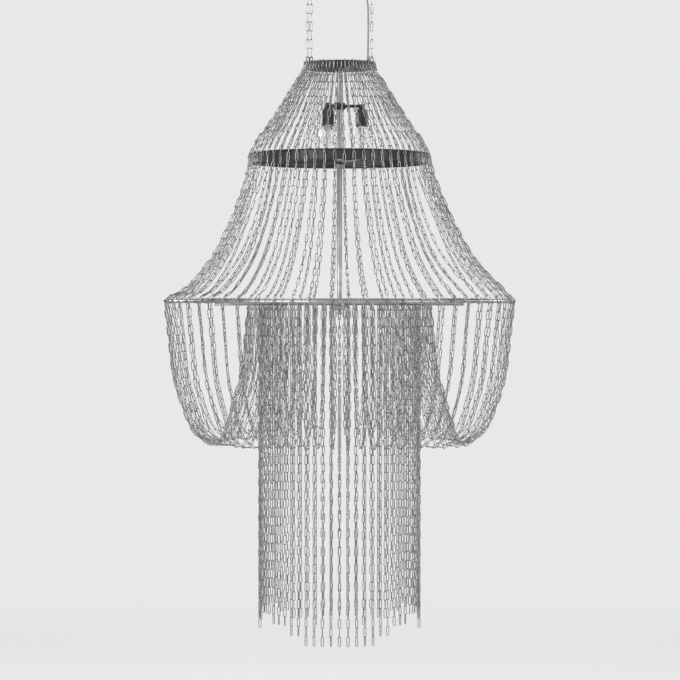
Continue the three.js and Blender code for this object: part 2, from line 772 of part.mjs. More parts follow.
/**
 * Two straight drops that are one length of chain doubled over the drop ring.
 * The middle link lies flat on the ring and the next ones straddle it. X is outwards,
 * Y along the ring, and z = 0 the ring's middle.
 */
function dropPair(linksEach) {
  const positions = [];
  const indices = [];
  const point = (x, y, z) => {
    positions.push(x, y, z);
    return positions.length / 3 - 1;
  };
  const quad = (a, b, c, d) => indices.push(a, b, c, a, c, d);
  // A squared link that straddles the ring, without its foot and the face named in skip
  const straddle = (middle, top, skip) => {
    const low = top - linkLength;
    const w = linkWidth / 2;
    const face = (inset, depth) => [[-w + inset, low + inset], [w - inset, low + inset],
      [w - inset, top - inset], [-w + inset, top - inset]].map(
      ([across, z]) => point(across, middle + depth, z));
    const near = [face(0, -wire / 2), face(wire, -wire / 2)];
    const far = [face(0, wire / 2), face(wire, wire / 2)];
    for (let s = 0; s < 4; s += 1) {
      const n = (s + 1) % 4;
      if (s !== 0) quad(near[0][s], near[0][n], far[0][n], far[0][s]);
      quad(near[1][n], near[1][s], far[1][s], far[1][n]);
      if (skip !== 'near' || s !== 2) quad(near[0][n], near[0][s], near[1][s], near[1][n]);
      if (skip !== 'far' || s !== 2) quad(far[0][s], far[0][n], far[1][n], far[1][s]);
    }
    return { near, far };
  };
  const top = dropRingBar / 2 + seatGap + wire;
  const spacing = dropRingRadius * Math.sin(Math.PI / ringStrands);
  const heads = linksEach.map((links, i) => {
    const middle = (i === 0 ? -1 : 1) * spacing;
    const head = straddle(middle, top, i === 0 ? 'far' : 'near');
    const e = strandWidth / 2;
    const bodyTop = top - linkLength - wire;
    const bodyLow = top - links * linkPitch - 2 * wire;
    const square = (z) => [point(-e, middle - e, z), point(e, middle - e, z),
      point(e, middle + e, z), point(-e, middle + e, z)];
    const rings = [
      [head.near[0][0], head.near[0][1], head.far[0][1], head.far[0][0]],
      square(bodyTop),
      square(bodyLow),
    ];
    for (let k = 0; k < 2; k += 1) {
      for (let s = 0; s < 4; s += 1) {
        const n = (s + 1) % 4;
        quad(rings[k][n], rings[k + 1][n], rings[k + 1][s], rings[k][s]);
      }
    }
    quad(rings[2][0], rings[2][1], rings[2][2], rings[2][3]);
    return head;
  });
  // The flat link between the two heads
  const [left, right] = heads;
  const from = [left.far[0][2], left.far[0][3], left.far[1][3], left.far[1][2]];
  const to = [right.near[0][2], right.near[0][3], right.near[1][3], right.near[1][2]];
  for (let s = 0; s < 4; s += 1) {
    const n = (s + 1) % 4;
    quad(from[s], from[n], to[n], to[s]);
  }
  return facingOut(geometryOf(positions, indices));
}

/** How many links a drop has, from its angle off the front. */
function linksAt(angle) {
  const fromFront = Math.min(angle, 360 - angle);
  const step = 360 / ringStrands;
  return dropLinks - missingLinks[Math.round(fromFront / step)];
}

// Assembly

const chandelier = new THREE.Group();

const ceiling = new THREE.Group();
chandelier.add(ceiling);
piece(ceiling, 'ceiling_bracket', ceilingBracket(), zincSteel);
piece(ceiling, 'ceiling_canopy', ceilingCanopy(), canopySteel);
piece(ceiling, 'hanger_left', hanger(twinStirrupWidth), zincSteel, [leftHangerX, 0, 0]);
piece(ceiling, 'hanger_right', hanger(singleStirrupWidth), zincSteel, [rightHangerX, 0, 0]);
piece(ceiling, 'terminal_block', terminalBlock(), whitePlastic);
piece(ceiling, 'cable_gland_top', gland(), blackPlastic,
  [cableTopX, 0, -canopyDepth - seatGap]);

const suspension = new THREE.Group();
chandelier.add(suspension);
const chainNames = ['left_outer', 'left_inner', 'right'];
eyePlaces.forEach((x, i) => {
  piece(suspension, `top_link_${chainNames[i]}`, link(true), chainSteel, [x, 0, topLinkTop]);
  piece(suspension, `chain_${chainNames[i]}`, chainRun(suspensionLinks - 1, false), chainSteel,
    [x, 0, chainTop]);
});
piece(suspension, 'lamp_cable', hangingCable(), cablePlastic);

const fixture = new THREE.Group();
chandelier.add(fixture);
piece(fixture, 'cable_gland_hoop', gland(), blackPlastic,
  [cableLowX, 0, crossbarLevel + crossbarHeight / 2 + seatGap]).rotation.x = Math.PI;
piece(fixture, 'top_hoop', topHoop(), blackPaint);
piece(fixture, 'cone_curtain', coneCurtain(), chainSteel);
piece(fixture, 'lamp_stem', lampStem(), zincSteel);
lampAngles.forEach((angle, i) => {
  const place = [lampArmReach * Math.cos(radians(angle)), lampArmReach * Math.sin(radians(angle)),
    lampLevel - lampArmRadius - weldSink - seatGap];
  piece(fixture, `lampholder_${i + 1}`, lampholder(), whitePlastic, place);
  const contact = place[2] - holderHeight + bulbCapLength + holderWall - seatGap;
  piece(fixture, `bulb_${i + 1}`, bulb(), bulbGlass, [place[0], place[1], contact]);
});
piece(fixture, 'middle_hoop', middleHoop(), blackPaint);
piece(fixture, 'drape_curtain', drapeCurtain(), chainSteel);
piece(fixture, 'outer_ring', roundRing(
  outerRingRadius, outerTubeLevel, outerRingTube, hoopSegments, outerRingSides), ringSteel);
piece(fixture, 'swag_curtain', swagCurtain(), chainSteel);
piece(fixture, 'swag_ring', squareRing(
  swagRingRadius, swagRingLevel, swagRingBar, hoopSegments), ringSteel);
piece(fixture, 'drop_ring', squareRing(
  dropRingRadius, dropRingLevel, dropRingBar, ringStrands, radians(strandPhase)), ringSteel);
piece(fixture, 'lower_spider', lowerSpider(), ringSteel);

const drops = new THREE.Group();
fixture.add(drops);
const pairStep = 360 / dropPairs;
const pairReach = dropRingRadius * Math.cos(Math.PI / ringStrands) ** 2;
for (let i = 0; i < dropPairs; i += 1) {
  const middle = (i + 0.5) * pairStep - pairStep / 4;
  const angles = [middle - pairStep / 4, middle + pairStep / 4];
  const pair = piece(drops, `drop_pair_${String(i + 1).padStart(2, '0')}`,
    dropPair(angles.map(linksAt)), chainSteel,
    [pairReach * Math.sin(radians(middle)), -pairReach * Math.cos(radians(middle)), dropRingLevel]);
  pair.rotation.z = radians(middle - 90);
}

export default chandelier;
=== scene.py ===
"""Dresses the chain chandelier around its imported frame.

Every strand is laid link by link, the hoops, rings and fittings are smooth bevelled metal, and
each surface has its own finish. Meshes are built in millimetres and become metres when finished.
The viewer stands on the -Y side. A strand's angle goes from the front (-Y) towards +X, and an
arm's or a spoke's from +X towards +Y.
"""

import logging
import math
import random
from abc import ABC, abstractmethod
from dataclasses import dataclass, field
from enum import Enum
from typing import Iterable, Optional, Sequence

import bmesh
import bpy
from mathutils import Matrix, Vector

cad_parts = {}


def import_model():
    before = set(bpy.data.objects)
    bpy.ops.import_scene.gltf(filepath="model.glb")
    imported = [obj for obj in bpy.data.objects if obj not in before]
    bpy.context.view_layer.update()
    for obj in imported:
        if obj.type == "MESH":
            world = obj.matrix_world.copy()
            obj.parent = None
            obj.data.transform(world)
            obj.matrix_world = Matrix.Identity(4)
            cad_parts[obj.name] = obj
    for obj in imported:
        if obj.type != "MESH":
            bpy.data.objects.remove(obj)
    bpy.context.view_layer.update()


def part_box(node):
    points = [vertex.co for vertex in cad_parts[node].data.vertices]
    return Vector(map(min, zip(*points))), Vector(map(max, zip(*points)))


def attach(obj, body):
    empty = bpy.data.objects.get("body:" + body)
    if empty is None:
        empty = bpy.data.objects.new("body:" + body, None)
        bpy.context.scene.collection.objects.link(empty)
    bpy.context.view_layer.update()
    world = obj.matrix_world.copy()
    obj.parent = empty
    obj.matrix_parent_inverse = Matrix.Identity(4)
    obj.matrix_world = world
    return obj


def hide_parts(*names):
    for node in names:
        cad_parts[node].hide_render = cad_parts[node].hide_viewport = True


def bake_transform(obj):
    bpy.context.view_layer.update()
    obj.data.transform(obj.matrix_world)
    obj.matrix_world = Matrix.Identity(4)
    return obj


MM = 0.001
FULL_TURN = 2 * math.pi
QUARTER_TURN = math.pi / 2
SEAT_GAP = 0.3
STRANDS = 60
FIRST_STRAND = 3.0
PER_SPAN = 5
SEED = 7
FIXTURE = "fixture"

Pair = tuple[float, float]
Point = tuple[float, float]
Place = tuple[float, float, float]
Colour = tuple[float, float, float]
Mesh = bmesh.types.BMesh
Socket = bpy.types.NodeSocket

log = logging.getLogger("chandelier")


class Slot(Enum):
    """The record's material slots."""

    CHAIN = "chain_steel"
    RING = "ring_steel"
    BLACK_PAINT = "black_paint"
    ZINC = "zinc_steel"
    CANOPY = "canopy_steel"
    BLACK_PLASTIC = "black_plastic"
    WHITE_PLASTIC = "white_plastic"
    CABLE = "cable_sheath"
    BULB = "bulb_glass"


# Nodes


def socket(sockets: Iterable[Socket], name: str) -> Socket:
    """Returns the first socket with an identifier or a name."""
    return next(item for item in sockets if name in (item.identifier, item.name))


def feed(node: bpy.types.Node, inputs: dict[str, object]) -> bpy.types.Node:
    """Links or sets a node's inputs.

    Args:
        node: The node.
        inputs: For each input, the output that it is linked to, or else its own value.

    Returns:
        The node itself.
    """
    for name, value in inputs.items():
        target = socket(node.inputs, name)
        if isinstance(value, Socket):
            node.id_data.links.new(value, target)
        else:
            target.default_value = value
    return node


def add_node(tree: bpy.types.NodeTree, kind: str, inputs: dict[str, object],
             **settings: object) -> bpy.types.Node:
    """Adds a shader node to a tree.

    Args:
        tree: The tree.
        kind: What comes after ShaderNode in its type.
        inputs: What feeds its inputs.
        settings: Its own properties.

    Returns:
        The new node.
    """
    node = tree.nodes.new(f"ShaderNode{kind}")
    for name, value in settings.items():
        setattr(node, name, value)
    return feed(node, inputs)


def ray_mask(tree: bpy.types.NodeTree, *kinds: str) -> Socket:
    """Makes a mask that is 1 for some kinds of ray and 0 for the others.

    Args:
        tree: A material's or the world's own tree.
        kinds: The kinds, as the Light Path node names them.

    Returns:
        The mask.
    """
    path = add_node(tree, "LightPath", {})
    mask, *others = (path.outputs[f"Is {kind} Ray"] for kind in kinds)
    for other in others:
        mask = add_node(tree, "Math", {"Value": mask, "Value_001": other},
                        operation="MAXIMUM").outputs["Value"]
    return mask


# Finishes


class UnevenSurface:
    """A shared node group: broad patches for tone and gloss, and a fine grain for relief."""

    NAME = "Uneven surface"
    SOCKETS = (("Vector", "INPUT", "Vector"), ("Patch scale", "INPUT", "Float"),
               ("Grain scale", "INPUT", "Float"), ("Patches", "OUTPUT", "Float"),
               ("Grain", "OUTPUT", "Float"))

    @classmethod
    def group(cls) -> bpy.types.NodeTree:
        """Returns the node group, and builds it the first time."""
        return bpy.data.node_groups.get(cls.NAME) or cls._build()

    @classmethod
    def _build(cls) -> bpy.types.NodeTree:
        """Builds the group.

        Returns:
            A shader node tree with Patches and Grain outputs, both from 0 to 1.
        """
        tree = bpy.data.node_groups.new(cls.NAME, "ShaderNodeTree")
        for name, way, kind in cls.SOCKETS:
            tree.interface.new_socket(name, in_out=way, socket_type=f"NodeSocket{kind}")
        given = tree.nodes.new("NodeGroupInput").outputs
        patches = add_node(tree, "TexNoise", {"Vector": given["Vector"], "Detail": 3.0,
                                              "Scale": given["Patch scale"], "Roughness": 0.62})
        grain = add_node(tree, "TexNoise", {"Vector": given["Vector"], "Detail": 2.0,
                                            "Scale": given["Grain scale"]})
        spread = add_node(tree, "MapRange", {"Value": patches.outputs["Fac"],
                                             "From Min": 0.36, "From Max": 0.64})
        feed(tree.nodes.new("NodeGroupOutput"), {"Patches": spread.outputs["Result"],
                                                 "Grain": grain.outputs["Fac"]})
        return tree


@dataclass(frozen=True)
class Surface(ABC):
    """What every finish has: its name, the record's slot that it belongs to, and its relief."""

    name: str
    slot: Slot
    patch_scale: float
    grain_scale: float
    relief: float

    def material(self) -> bpy.types.Material:
        """Returns the finish as a material, built once."""
        return bpy.data.materials.get(self.name) or self._build()

    @abstractmethod
    def _build(self) -> bpy.types.Material:
        """Returns the new material."""

    def _start(self) -> tuple[bpy.types.Material, bpy.types.Node]:
        """Starts the material with its relief.

        Returns:
            The new material, and its node of patches and grain.
        """
        material = bpy.data.materials.new(self.name)
        material.use_nodes = True
        tree = material.node_tree
        place = add_node(tree, "TexCoord", {})
        uneven = add_node(tree, "Group", {"Vector": place.outputs["Object"],
                                          "Patch scale": self.patch_scale,
                                          "Grain scale": self.grain_scale},
                          node_tree=UnevenSurface.group())
        bump = add_node(tree, "Bump", {"Distance": self.relief, "Height": uneven.outputs["Grain"]})
        feed(tree.nodes["Principled BSDF"], {"Normal": bump.outputs["Normal"]})
        return material, uneven


@dataclass(frozen=True)
class Finish(Surface):
    """A surface that varies between a clean tone and a dull one."""

    clean: Colour
    dull: Colour
    clean_roughness: float
    dull_roughness: float
    metallic: float = 1.0
    coat: float = 0.0

    def _build(self) -> bpy.types.Material:
        """Mixes both tones and both roughnesses by the patches.

        Returns:
            The new material.
        """
        material, uneven = self._start()
        material.diffuse_color = (*self.clean, 1.0)
        tree = material.node_tree
        patches = uneven.outputs["Patches"]
        tone = add_node(tree, "Mix", {"Factor_Float": patches, "A_Color": (*self.clean, 1.0),
                                      "B_Color": (*self.dull, 1.0)}, data_type="RGBA")
        gloss = add_node(tree, "MapRange", {"Value": patches, "To Min": self.clean_roughness,
                                            "To Max": self.dull_roughness})
        feed(tree.nodes["Principled BSDF"], {"Base Color": socket(tone.outputs, "Result_Color"),
                                             "Roughness": gloss.outputs["Result"],
                                             "Metallic": self.metallic,
                                             "Coat Weight": self.coat})
        return material


@dataclass(frozen=True)
class ClearGlass(Surface):
    """Thin clear glass with a faint waviness."""

    tint: Colour
    roughness: float
    refraction: float

    def _build(self) -> bpy.types.Material:
        """Makes the shader let light through.

        Returns:
            The new material.
        """
        material, _ = self._start()
        feed(material.node_tree.nodes["Principled BSDF"],
             {"Base Color": (*self.tint, 1.0), "Roughness": self.roughness,
              "IOR": self.refraction, "Transmission Weight": 1.0})
        return material


CHAIN_NICKEL = Finish("Nickel chain", Slot.CHAIN, 55.0, 700.0, 0.00002,
                      (0.47, 0.463, 0.450), (0.20, 0.197, 0.192), 0.14, 0.30)
RING_NICKEL = Finish("Polished ring", Slot.RING, 14.0, 600.0, 0.00004,
                     (0.46, 0.455, 0.445), (0.30, 0.296, 0.29), 0.16, 0.30)
STEM_NICKEL = Finish("Satin stem", Slot.RING, 18.0, 800.0, 0.00001,
                     (0.42, 0.415, 0.405), (0.30, 0.296, 0.29), 0.30, 0.44)
BLACK_STEEL = Finish("Black satin paint", Slot.BLACK_PAINT, 9.0, 1400.0, 0.00005,
                     (0.018, 0.018, 0.020), (0.034, 0.034, 0.036), 0.36, 0.52, 0.0, 0.15)
ZINC_PLATE = Finish("Zinc plate", Slot.ZINC, 40.0, 700.0, 0.00005,
                    (0.56, 0.57, 0.58), (0.40, 0.41, 0.43), 0.34, 0.5)
SATIN_CANOPY = Finish("Satin canopy", Slot.CANOPY, 12.0, 1200.0, 0.00003,
                      (0.58, 0.575, 0.56), (0.5, 0.49, 0.48), 0.28, 0.38)
BLACK_RESIN = Finish("Black resin", Slot.BLACK_PLASTIC, 30.0, 1500.0, 0.00004,
                     (0.020, 0.020, 0.021), (0.032, 0.032, 0.032), 0.42, 0.56, 0.0)
WHITE_RESIN = Finish("White resin", Slot.WHITE_PLASTIC, 30.0, 1200.0, 0.00003,
                     (0.74, 0.73, 0.70), (0.66, 0.65, 0.62), 0.4, 0.52, 0.0)
GREY_SHEATH = Finish("Grey cable sheath", Slot.CABLE, 30.0, 1500.0, 0.00003,
                     (0.40, 0.40, 0.39), (0.33, 0.33, 0.325), 0.38, 0.5, 0.0)
NICKELLED_CAP = Finish("Nickelled lamp cap", Slot.BULB, 60.0, 900.0, 0.00003,
                       (0.62, 0.60, 0.55), (0.50, 0.48, 0.43), 0.26, 0.4)
FILAMENT = Finish("Filament coating", Slot.BULB, 90.0, 900.0, 0.00003,
                  (0.78, 0.52, 0.16), (0.70, 0.44, 0.12), 0.5, 0.6, 0.0)
BULB_GLASS = ClearGlass("Clear bulb glass", Slot.BULB, 30.0, 30.0, 0.0001,
                        (0.97, 0.98, 0.98), 0.02, 1.45)


# Points and places


def on_circle(centre: Point, radius: float, turn: float) -> Point:
    """Returns the point of a circle at a turn in radians from its first axis."""
    return centre[0] + radius * math.cos(turn), centre[1] + radius * math.sin(turn)


def upright(points: Iterable[Point]) -> list[Vector]:
    """Returns [x, z] points as points of the XZ plane."""
    return [Vector((x, 0, z)) for x, z in points]


def standing(angle: float) -> tuple[Vector, Vector]:
    """Gives the directions at an angle round the lamp.

    Args:
        angle: In degrees from the front towards +X.

    Returns:
        The outward direction and the direction along the ring.
    """
    turn = math.radians(angle)
    along = Vector((math.cos(turn), math.sin(turn), 0))
    return Vector((math.sin(turn), -math.cos(turn), 0)), along


def around(angle: float, radius: float, height: float) -> Vector:
    """Returns the point at an angle in degrees from the front, a radius and a height."""
    return standing(angle)[0] * radius + Vector((0, 0, height))


def placed(centre: Vector, width: Vector, up: Vector) -> Matrix:
    """Stands a part somewhere.

    Args:
        centre: Where its middle goes.
        width: The direction of its X.
        up: The direction of its Z.

    Returns:
        The matrix that does so.
    """
    place = Matrix((width, up.cross(width), up)).transposed().to_4x4()
    place.translation = centre
    return place


def about_z(angle: float) -> Matrix:
    """Returns the turn by an angle in degrees from +X."""
    return Matrix.Rotation(math.radians(angle), 4, "Z")


def evenly(count: int) -> list[Matrix]:
    """Returns the turns that spread copies evenly round the axis."""
    return [Matrix.Rotation(FULL_TURN * i / count, 4, "Z") for i in range(count)]


def node_box(node: str) -> tuple[Vector, Vector]:
    """Returns the lowest and highest corner of one of the frame's nodes, in millimetres."""
    low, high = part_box(node)
    return low / MM, high / MM


def middle_x(node: str) -> float:
    """Returns the X of a node's middle, in millimetres."""
    low, high = node_box(node)
    return (low.x + high.x) / 2


def smooth_line(points: Sequence[Vector]) -> list[Vector]:
    """Draws a smooth line through points.

    Args:
        points: The points that it passes through.

    Returns:
        The denser line, with PER_SPAN steps between two of them and the same ends.
    """
    ends = [2 * points[0] - points[1], *points, 2 * points[-1] - points[-2]]
    line = [points[0].copy()]
    for p0, p1, p2, p3 in zip(ends, ends[1:], ends[2:], ends[3:]):
        for step in range(1, PER_SPAN + 1):
            t = step / PER_SPAN
            line.append(0.5 * (2 * p1 + (p2 - p0) * t + (2 * p0 - 5 * p1 + 4 * p2 - p3) * t ** 2
                               + (3 * p1 - p0 - 3 * p2 + p3) * t ** 3))
    return line


class Route:
    """A line through points, measured along its length from its first point."""

    def __init__(self, points: Sequence[Vector]) -> None:
        """Keeps the points and adds up the distances between them.

        Args:
            points: The line's points.
        """
        self.points = list(points)
        self.marks = [0.0]
        for before, after in zip(self.points, self.points[1:]):
            self.marks.append(self.marks[-1] + (after - before).length)

    @property
    def length(self) -> float:
        """Returns the whole length."""
        return self.marks[-1]

    def at(self, distance: float) -> Vector:
        """Finds a point of the line.

        Args:
            distance: How far along the line it lies.

        Returns:
            The point, past the ends in their own direction.
        """
        last = len(self.points) - 2
        span = 0
        while span < last and self.marks[span + 1] < distance:
            span += 1
        start = self.points[span]
        ahead = (self.points[span + 1] - start).normalized()
        return start + ahead * (distance - self.marks[span])


# Meshes


def only(geometry: Iterable, kind: type) -> list:
    """Returns the mesh elements of one kind."""
    return [item for item in geometry if isinstance(item, kind)]


def cleaned(bm: Mesh) -> Mesh:
    """Merges doubles and turns all faces outwards.

    Args:
        bm: The bmesh.

    Returns:
        The bmesh itself.
    """
    bmesh.ops.remove_doubles(bm, verts=bm.verts, dist=MM)
    bmesh.ops.recalc_face_normals(bm, faces=bm.faces)
    return bm


def turned(outline: Sequence[Point], steps: int) -> Mesh:
    """Revolves an outline about Z.

    Args:
        outline: [radius, height] points. It ends on the axis, or else closes on itself.
        steps: How many steps make the full turn.

    Returns:
        The solid, or a shell where only one end is on the axis.
    """
    bm = bmesh.new()
    verts = [bm.verts.new((radius, 0, height)) for radius, height in outline]
    edges = [bm.edges.new(pair) for pair in zip(verts, verts[1:])]
    if all(radius > 0 for radius, _ in outline):
        edges.append(bm.edges.new((verts[-1], verts[0])))
    bmesh.ops.spin(bm, geom=verts + edges, cent=(0, 0, 0), axis=(0, 0, 1), angle=FULL_TURN,
                   steps=steps, use_merge=True)
    return cleaned(bm)


def flat_ring(radii: Pair, levels: Pair, edge: float, steps: int) -> Mesh:
    """Turns a ring of flat bar with its corners broken.

    Args:
        radii: Its inner and outer radius.
        levels: Its lowest and highest level.
        edge: How far its corners are broken.
        steps: How many steps make the full turn.

    Returns:
        The closed solid.
    """
    (inner, outer), (low, high) = radii, levels
    return turned([(inner + edge, low), (outer - edge, low), (outer, low + edge),
                   (outer, high - edge), (outer - edge, high), (inner + edge, high),
                   (inner, high - edge), (inner, low + edge)], steps)


def round_ring(place: Point, size: float, sides: int, steps: int) -> Mesh:
    """Turns a ring of round rod.

    Args:
        place: The radius and level of its middle line.
        size: How thick it is.
        sides: How many sides its section has.
        steps: How many steps make the full turn.

    Returns:
        The closed solid.
    """
    return turned([on_circle(place, size / 2, FULL_TURN * step / sides) for step in range(sides)],
                  steps)


def box(low: Vector, high: Vector) -> Mesh:
    """Makes a plain box.

    Args:
        low: Its lowest corner.
        high: Its highest corner.

    Returns:
        The closed solid.
    """
    bm = bmesh.new()
    bmesh.ops.create_cube(bm, size=1)
    bmesh.ops.scale(bm, vec=high - low, verts=bm.verts)
    bmesh.ops.translate(bm, vec=(low + high) / 2, verts=bm.verts)
    return bm


def soften(bm: Mesh, edges: Sequence[bmesh.types.BMEdge], size: float, segments: int) -> None:
    """Bevels some edges round, by a size and in a number of segments."""
    bmesh.ops.bevel(bm, geom=edges, offset=size, segments=segments, profile=0.5,
                    affect="EDGES", material=-1)


def bar(along: Pair, width: float, levels: Pair, edge: float, segments: int) -> Mesh:
    """Makes a bar along X, its middle on Y = 0.

    Args:
        along: Where it starts and ends on X.
        width: How wide it is.
        levels: Its lowest and highest level.
        edge: How far its edges are softened.
        segments: In how many segments.

    Returns:
        The closed solid.
    """
    bm = box(Vector((along[0], -width / 2, levels[0])), Vector((along[1], width / 2, levels[1])))
    soften(bm, bm.edges[:], edge, segments)
    return cleaned(bm)


def frames_along(points: Sequence[Vector], closed: bool) -> list[Matrix]:
    """Works out frames whose Z follows a line, turned as little as possible between points.

    Args:
        points: The line's points.
        closed: Whether the line returns to its first point.

    Returns:
        One matrix for each point.
    """
    count = len(points)
    frames = []
    side = None
    heading = None
    for i, point in enumerate(points):
        before = points[i - 1] if closed or i > 0 else point
        after = points[(i + 1) % count] if closed or i < count - 1 else point
        ahead = (after - before).normalized()
        side = ahead.orthogonal().normalized() if side is None else (
            heading.rotation_difference(ahead) @ side)
        heading = ahead
        frames.append(placed(point, side, ahead))
    return frames


def swept(points: Sequence[Vector], radius: float, sides: int, closed: bool = False) -> Mesh:
    """Sweeps a round section along a line.

    Args:
        points: The line's points.
        radius: The section's radius.
        sides: How many sides the section has.
        closed: Whether the line returns to its first point.

    Returns:
        The closed tube or loop.
    """
    bm = bmesh.new()
    frames = frames_along(points, closed)
    bmesh.ops.create_circle(bm, segments=sides, radius=radius, matrix=frames[0])
    first = edges = bm.edges[:]
    for before, after in zip(frames, frames[1:]):
        grown = bmesh.ops.extrude_edge_only(bm, edges=edges)["geom"]
        bmesh.ops.transform(bm, matrix=after @ before.inverted(),
                            verts=only(grown, bmesh.types.BMVert))
        edges = [edge for edge in only(grown, bmesh.types.BMEdge) if edge.is_boundary]
    if closed:
        bmesh.ops.bridge_loops(bm, edges=first + edges)
    else:
        bmesh.ops.contextual_create(bm, geom=first)
        bmesh.ops.contextual_create(bm, geom=edges)
    return cleaned(bm)


def as_mesh(name: str, bm: Mesh) -> bpy.types.Mesh:
    """Turns a bmesh into a mesh.

    Args:
        name: The mesh's name.
        bm: The bmesh, which is used up.

    Returns:
        The new mesh.
    """
    mesh = bpy.data.meshes.new(name)
    bm.to_mesh(mesh)
    bm.free()
    return mesh


def in_scene(name: str, data: bpy.types.ID) -> bpy.types.Object:
    """Puts a mesh, a camera or a lamp in the scene.

    Args:
        name: The object's name.
        data: What it holds.

    Returns:
        The new object.
    """
    holder = bpy.data.objects.new(name, data)
    bpy.context.scene.collection.objects.link(holder)
    return holder


def dressed(name: str, bm: Mesh, surface: Surface, crease: Optional[float]) -> bpy.types.Object:
    """Turns a bmesh in millimetres into a smooth object in metres.

    Args:
        name: The object's name.
        bm: Its shape, which is used up.
        surface: Its finish.
        crease: The angle in degrees past which an edge stays sharp, or None for none.

    Returns:
        The new object.
    """
    mesh = as_mesh(name, bm)
    mesh.transform(Matrix.Scale(MM, 4))
    mesh.polygons.foreach_set("use_smooth", [True] * len(mesh.polygons))
    if crease is not None:
        mesh.set_sharp_from_angle(angle=math.radians(crease))
    mesh.materials.append(surface.material())
    piece = in_scene(name, mesh)
    return piece


class Shape:
    """One piece under construction, made of parts that are added one after another."""

    def __init__(self) -> None:
        """Starts an empty piece."""
        self.bm = bmesh.new()

    def add(self, part: Mesh, *places: Matrix) -> "Shape":
        """Adds a part.

        Args:
            part: The part, which is used up.
            places: Where its copies go, or none for one copy where it is.

        Returns:
            The piece itself.
        """
        mesh = as_mesh("part", part)
        self.stamp(mesh, *(places or (Matrix.Identity(4),)))
        bpy.data.meshes.remove(mesh)
        return self

    def stamp(self, mesh: bpy.types.Mesh, *places: Matrix) -> "Shape":
        """Adds copies of a mesh.

        Args:
            mesh: The mesh, which is kept.
            places: Where its copies go.

        Returns:
            The piece itself.
        """
        for place in places:
            copy = mesh.copy()
            copy.transform(place)
            self.bm.from_mesh(copy)
            bpy.data.meshes.remove(copy)
        return self

    def finish(self, name: str, surface: Surface, replaces: Iterable[str] = (),
               body: str = FIXTURE, crease: Optional[float] = 35.0) -> None:
        """Turns the piece into an object that rides on a body.

        Args:
            name: The piece's name.
            surface: Its finish.
            replaces: The frame's nodes that it stands for.
            body: The body that it moves with.
            crease: The angle in degrees past which an edge stays sharp, or None for none.
        """
        piece = dressed(name, self.bm, surface, crease)
        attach(piece, body)
        if replaces:
            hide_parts(*replaces)
        log.info("%s: %d faces on %s", name, len(piece.data.polygons), body)


@dataclass(frozen=True)
class LinkForm:
    """An oval link of round wire, upright in its own XZ plane and centred."""

    inside: float = 22.0
    width: float = 8.0
    wire: float = 2.0
    end_steps: int = 5
    sides: int = 5

    @property
    def reach(self) -> float:
        """Returns the distance between the middles of its end wires."""
        return self.inside + self.wire

    def mesh(self) -> bpy.types.Mesh:
        """Sweeps the wire round the oval.

        Returns:
            One link as a mesh that can be stamped many times.
        """
        radius = (self.width - self.wire) / 2
        half = self.reach / 2 - radius
        oval = [on_circle((0, end * half), radius, start + math.pi * step / self.end_steps)
                for end, start in ((1, 0.0), (-1, math.pi)) for step in range(self.end_steps + 1)]
        return as_mesh("link", swept(upright(oval), self.wire / 2, self.sides, closed=True))


# Sub-assemblies


@dataclass
class Levels:
    """Heights and radii that the frame gives, and the thicknesses that they depend on, in mm."""

    bar: float = 0.0
    eye: float = 0.0
    top_rim: float = 0.0
    top_radius: float = 0.0
    middle_rim: float = 0.0
    middle_radius: float = 0.0
    ring: Point = (0.0, 0.0)
    swag_ring: Point = (0.0, 0.0)
    drop_ring: Point = (0.0, 0.0)
    eye_wire: float = 2.2
    eye_rise: float = 16.0
    stirrup_wire: float = 3.4
    tube: float = 8.0
    swag_rod: float = 6.0
    drop_rod: float = 3.0
    thread: float = 3.0

    def read(self) -> "Levels":
        """Reads the frame's boxes.

        Returns:
            The levels themselves, a ring's as the radius and level of its middle line.
        """
        self.bar = node_box("hanger_left")[0].z + self.stirrup_wire / 2
        _, high = node_box("top_hoop")
        self.top_radius = high.x
        self.eye = high.z - self.eye_wire / 2
        self.top_rim = self.eye - self.eye_rise
        _, high = node_box("middle_hoop")
        self.middle_radius, self.middle_rim = high.x, high.z
        self.ring = self._middle_line("outer_ring", self.tube)
        self.swag_ring = self._middle_line("swag_ring", self.swag_rod)
        radius, level = self._middle_line("drop_ring", self.drop_rod)
        self.drop_ring = (round(radius), level)
        return self

    def _middle_line(self, node: str, size: float) -> Point:
        """Returns the radius and level of the middle line of a ring of rod."""
        low, high = node_box(node)
        return high.x - size / 2, (low.z + high.z) / 2

    @property
    def thread_level(self) -> float:
        """Returns the level of the wire that lies on the outer ring's tube."""
        return self.ring[1] + (self.tube + self.thread) / 2 + SEAT_GAP


@dataclass
class Gland:
    """A cable gland: its thread above z = 0 and a ribbed domed nut below."""

    bore: float = 2.75
    thread: float = 3.4
    thread_length: float = 4.0
    nut: float = 4.4
    nut_length: float = 9.0
    ribs: int = 10

    def part(self) -> Mesh:
        """Turns the gland and adds the nut's ribs.

        Returns:
            The gland as one part.
        """
        nut, foot = self.nut, -self.nut_length
        outline = [(self.bore, self.thread_length), (self.bore, foot), (0.76 * nut, foot),
                   (0.92 * nut, 0.82 * foot), (nut, 0.6 * foot), (nut, -0.5), (0.94 * nut, 0.0),
                   (self.thread, 0.0), (self.thread, self.thread_length)]
        rib = bar((nut - 0.6, nut + 0.25), 0.9, (0.62 * foot, -0.6), 0.15, 1)
        return Shape().add(turned(outline, 32)).add(rib, *evenly(self.ribs)).bm


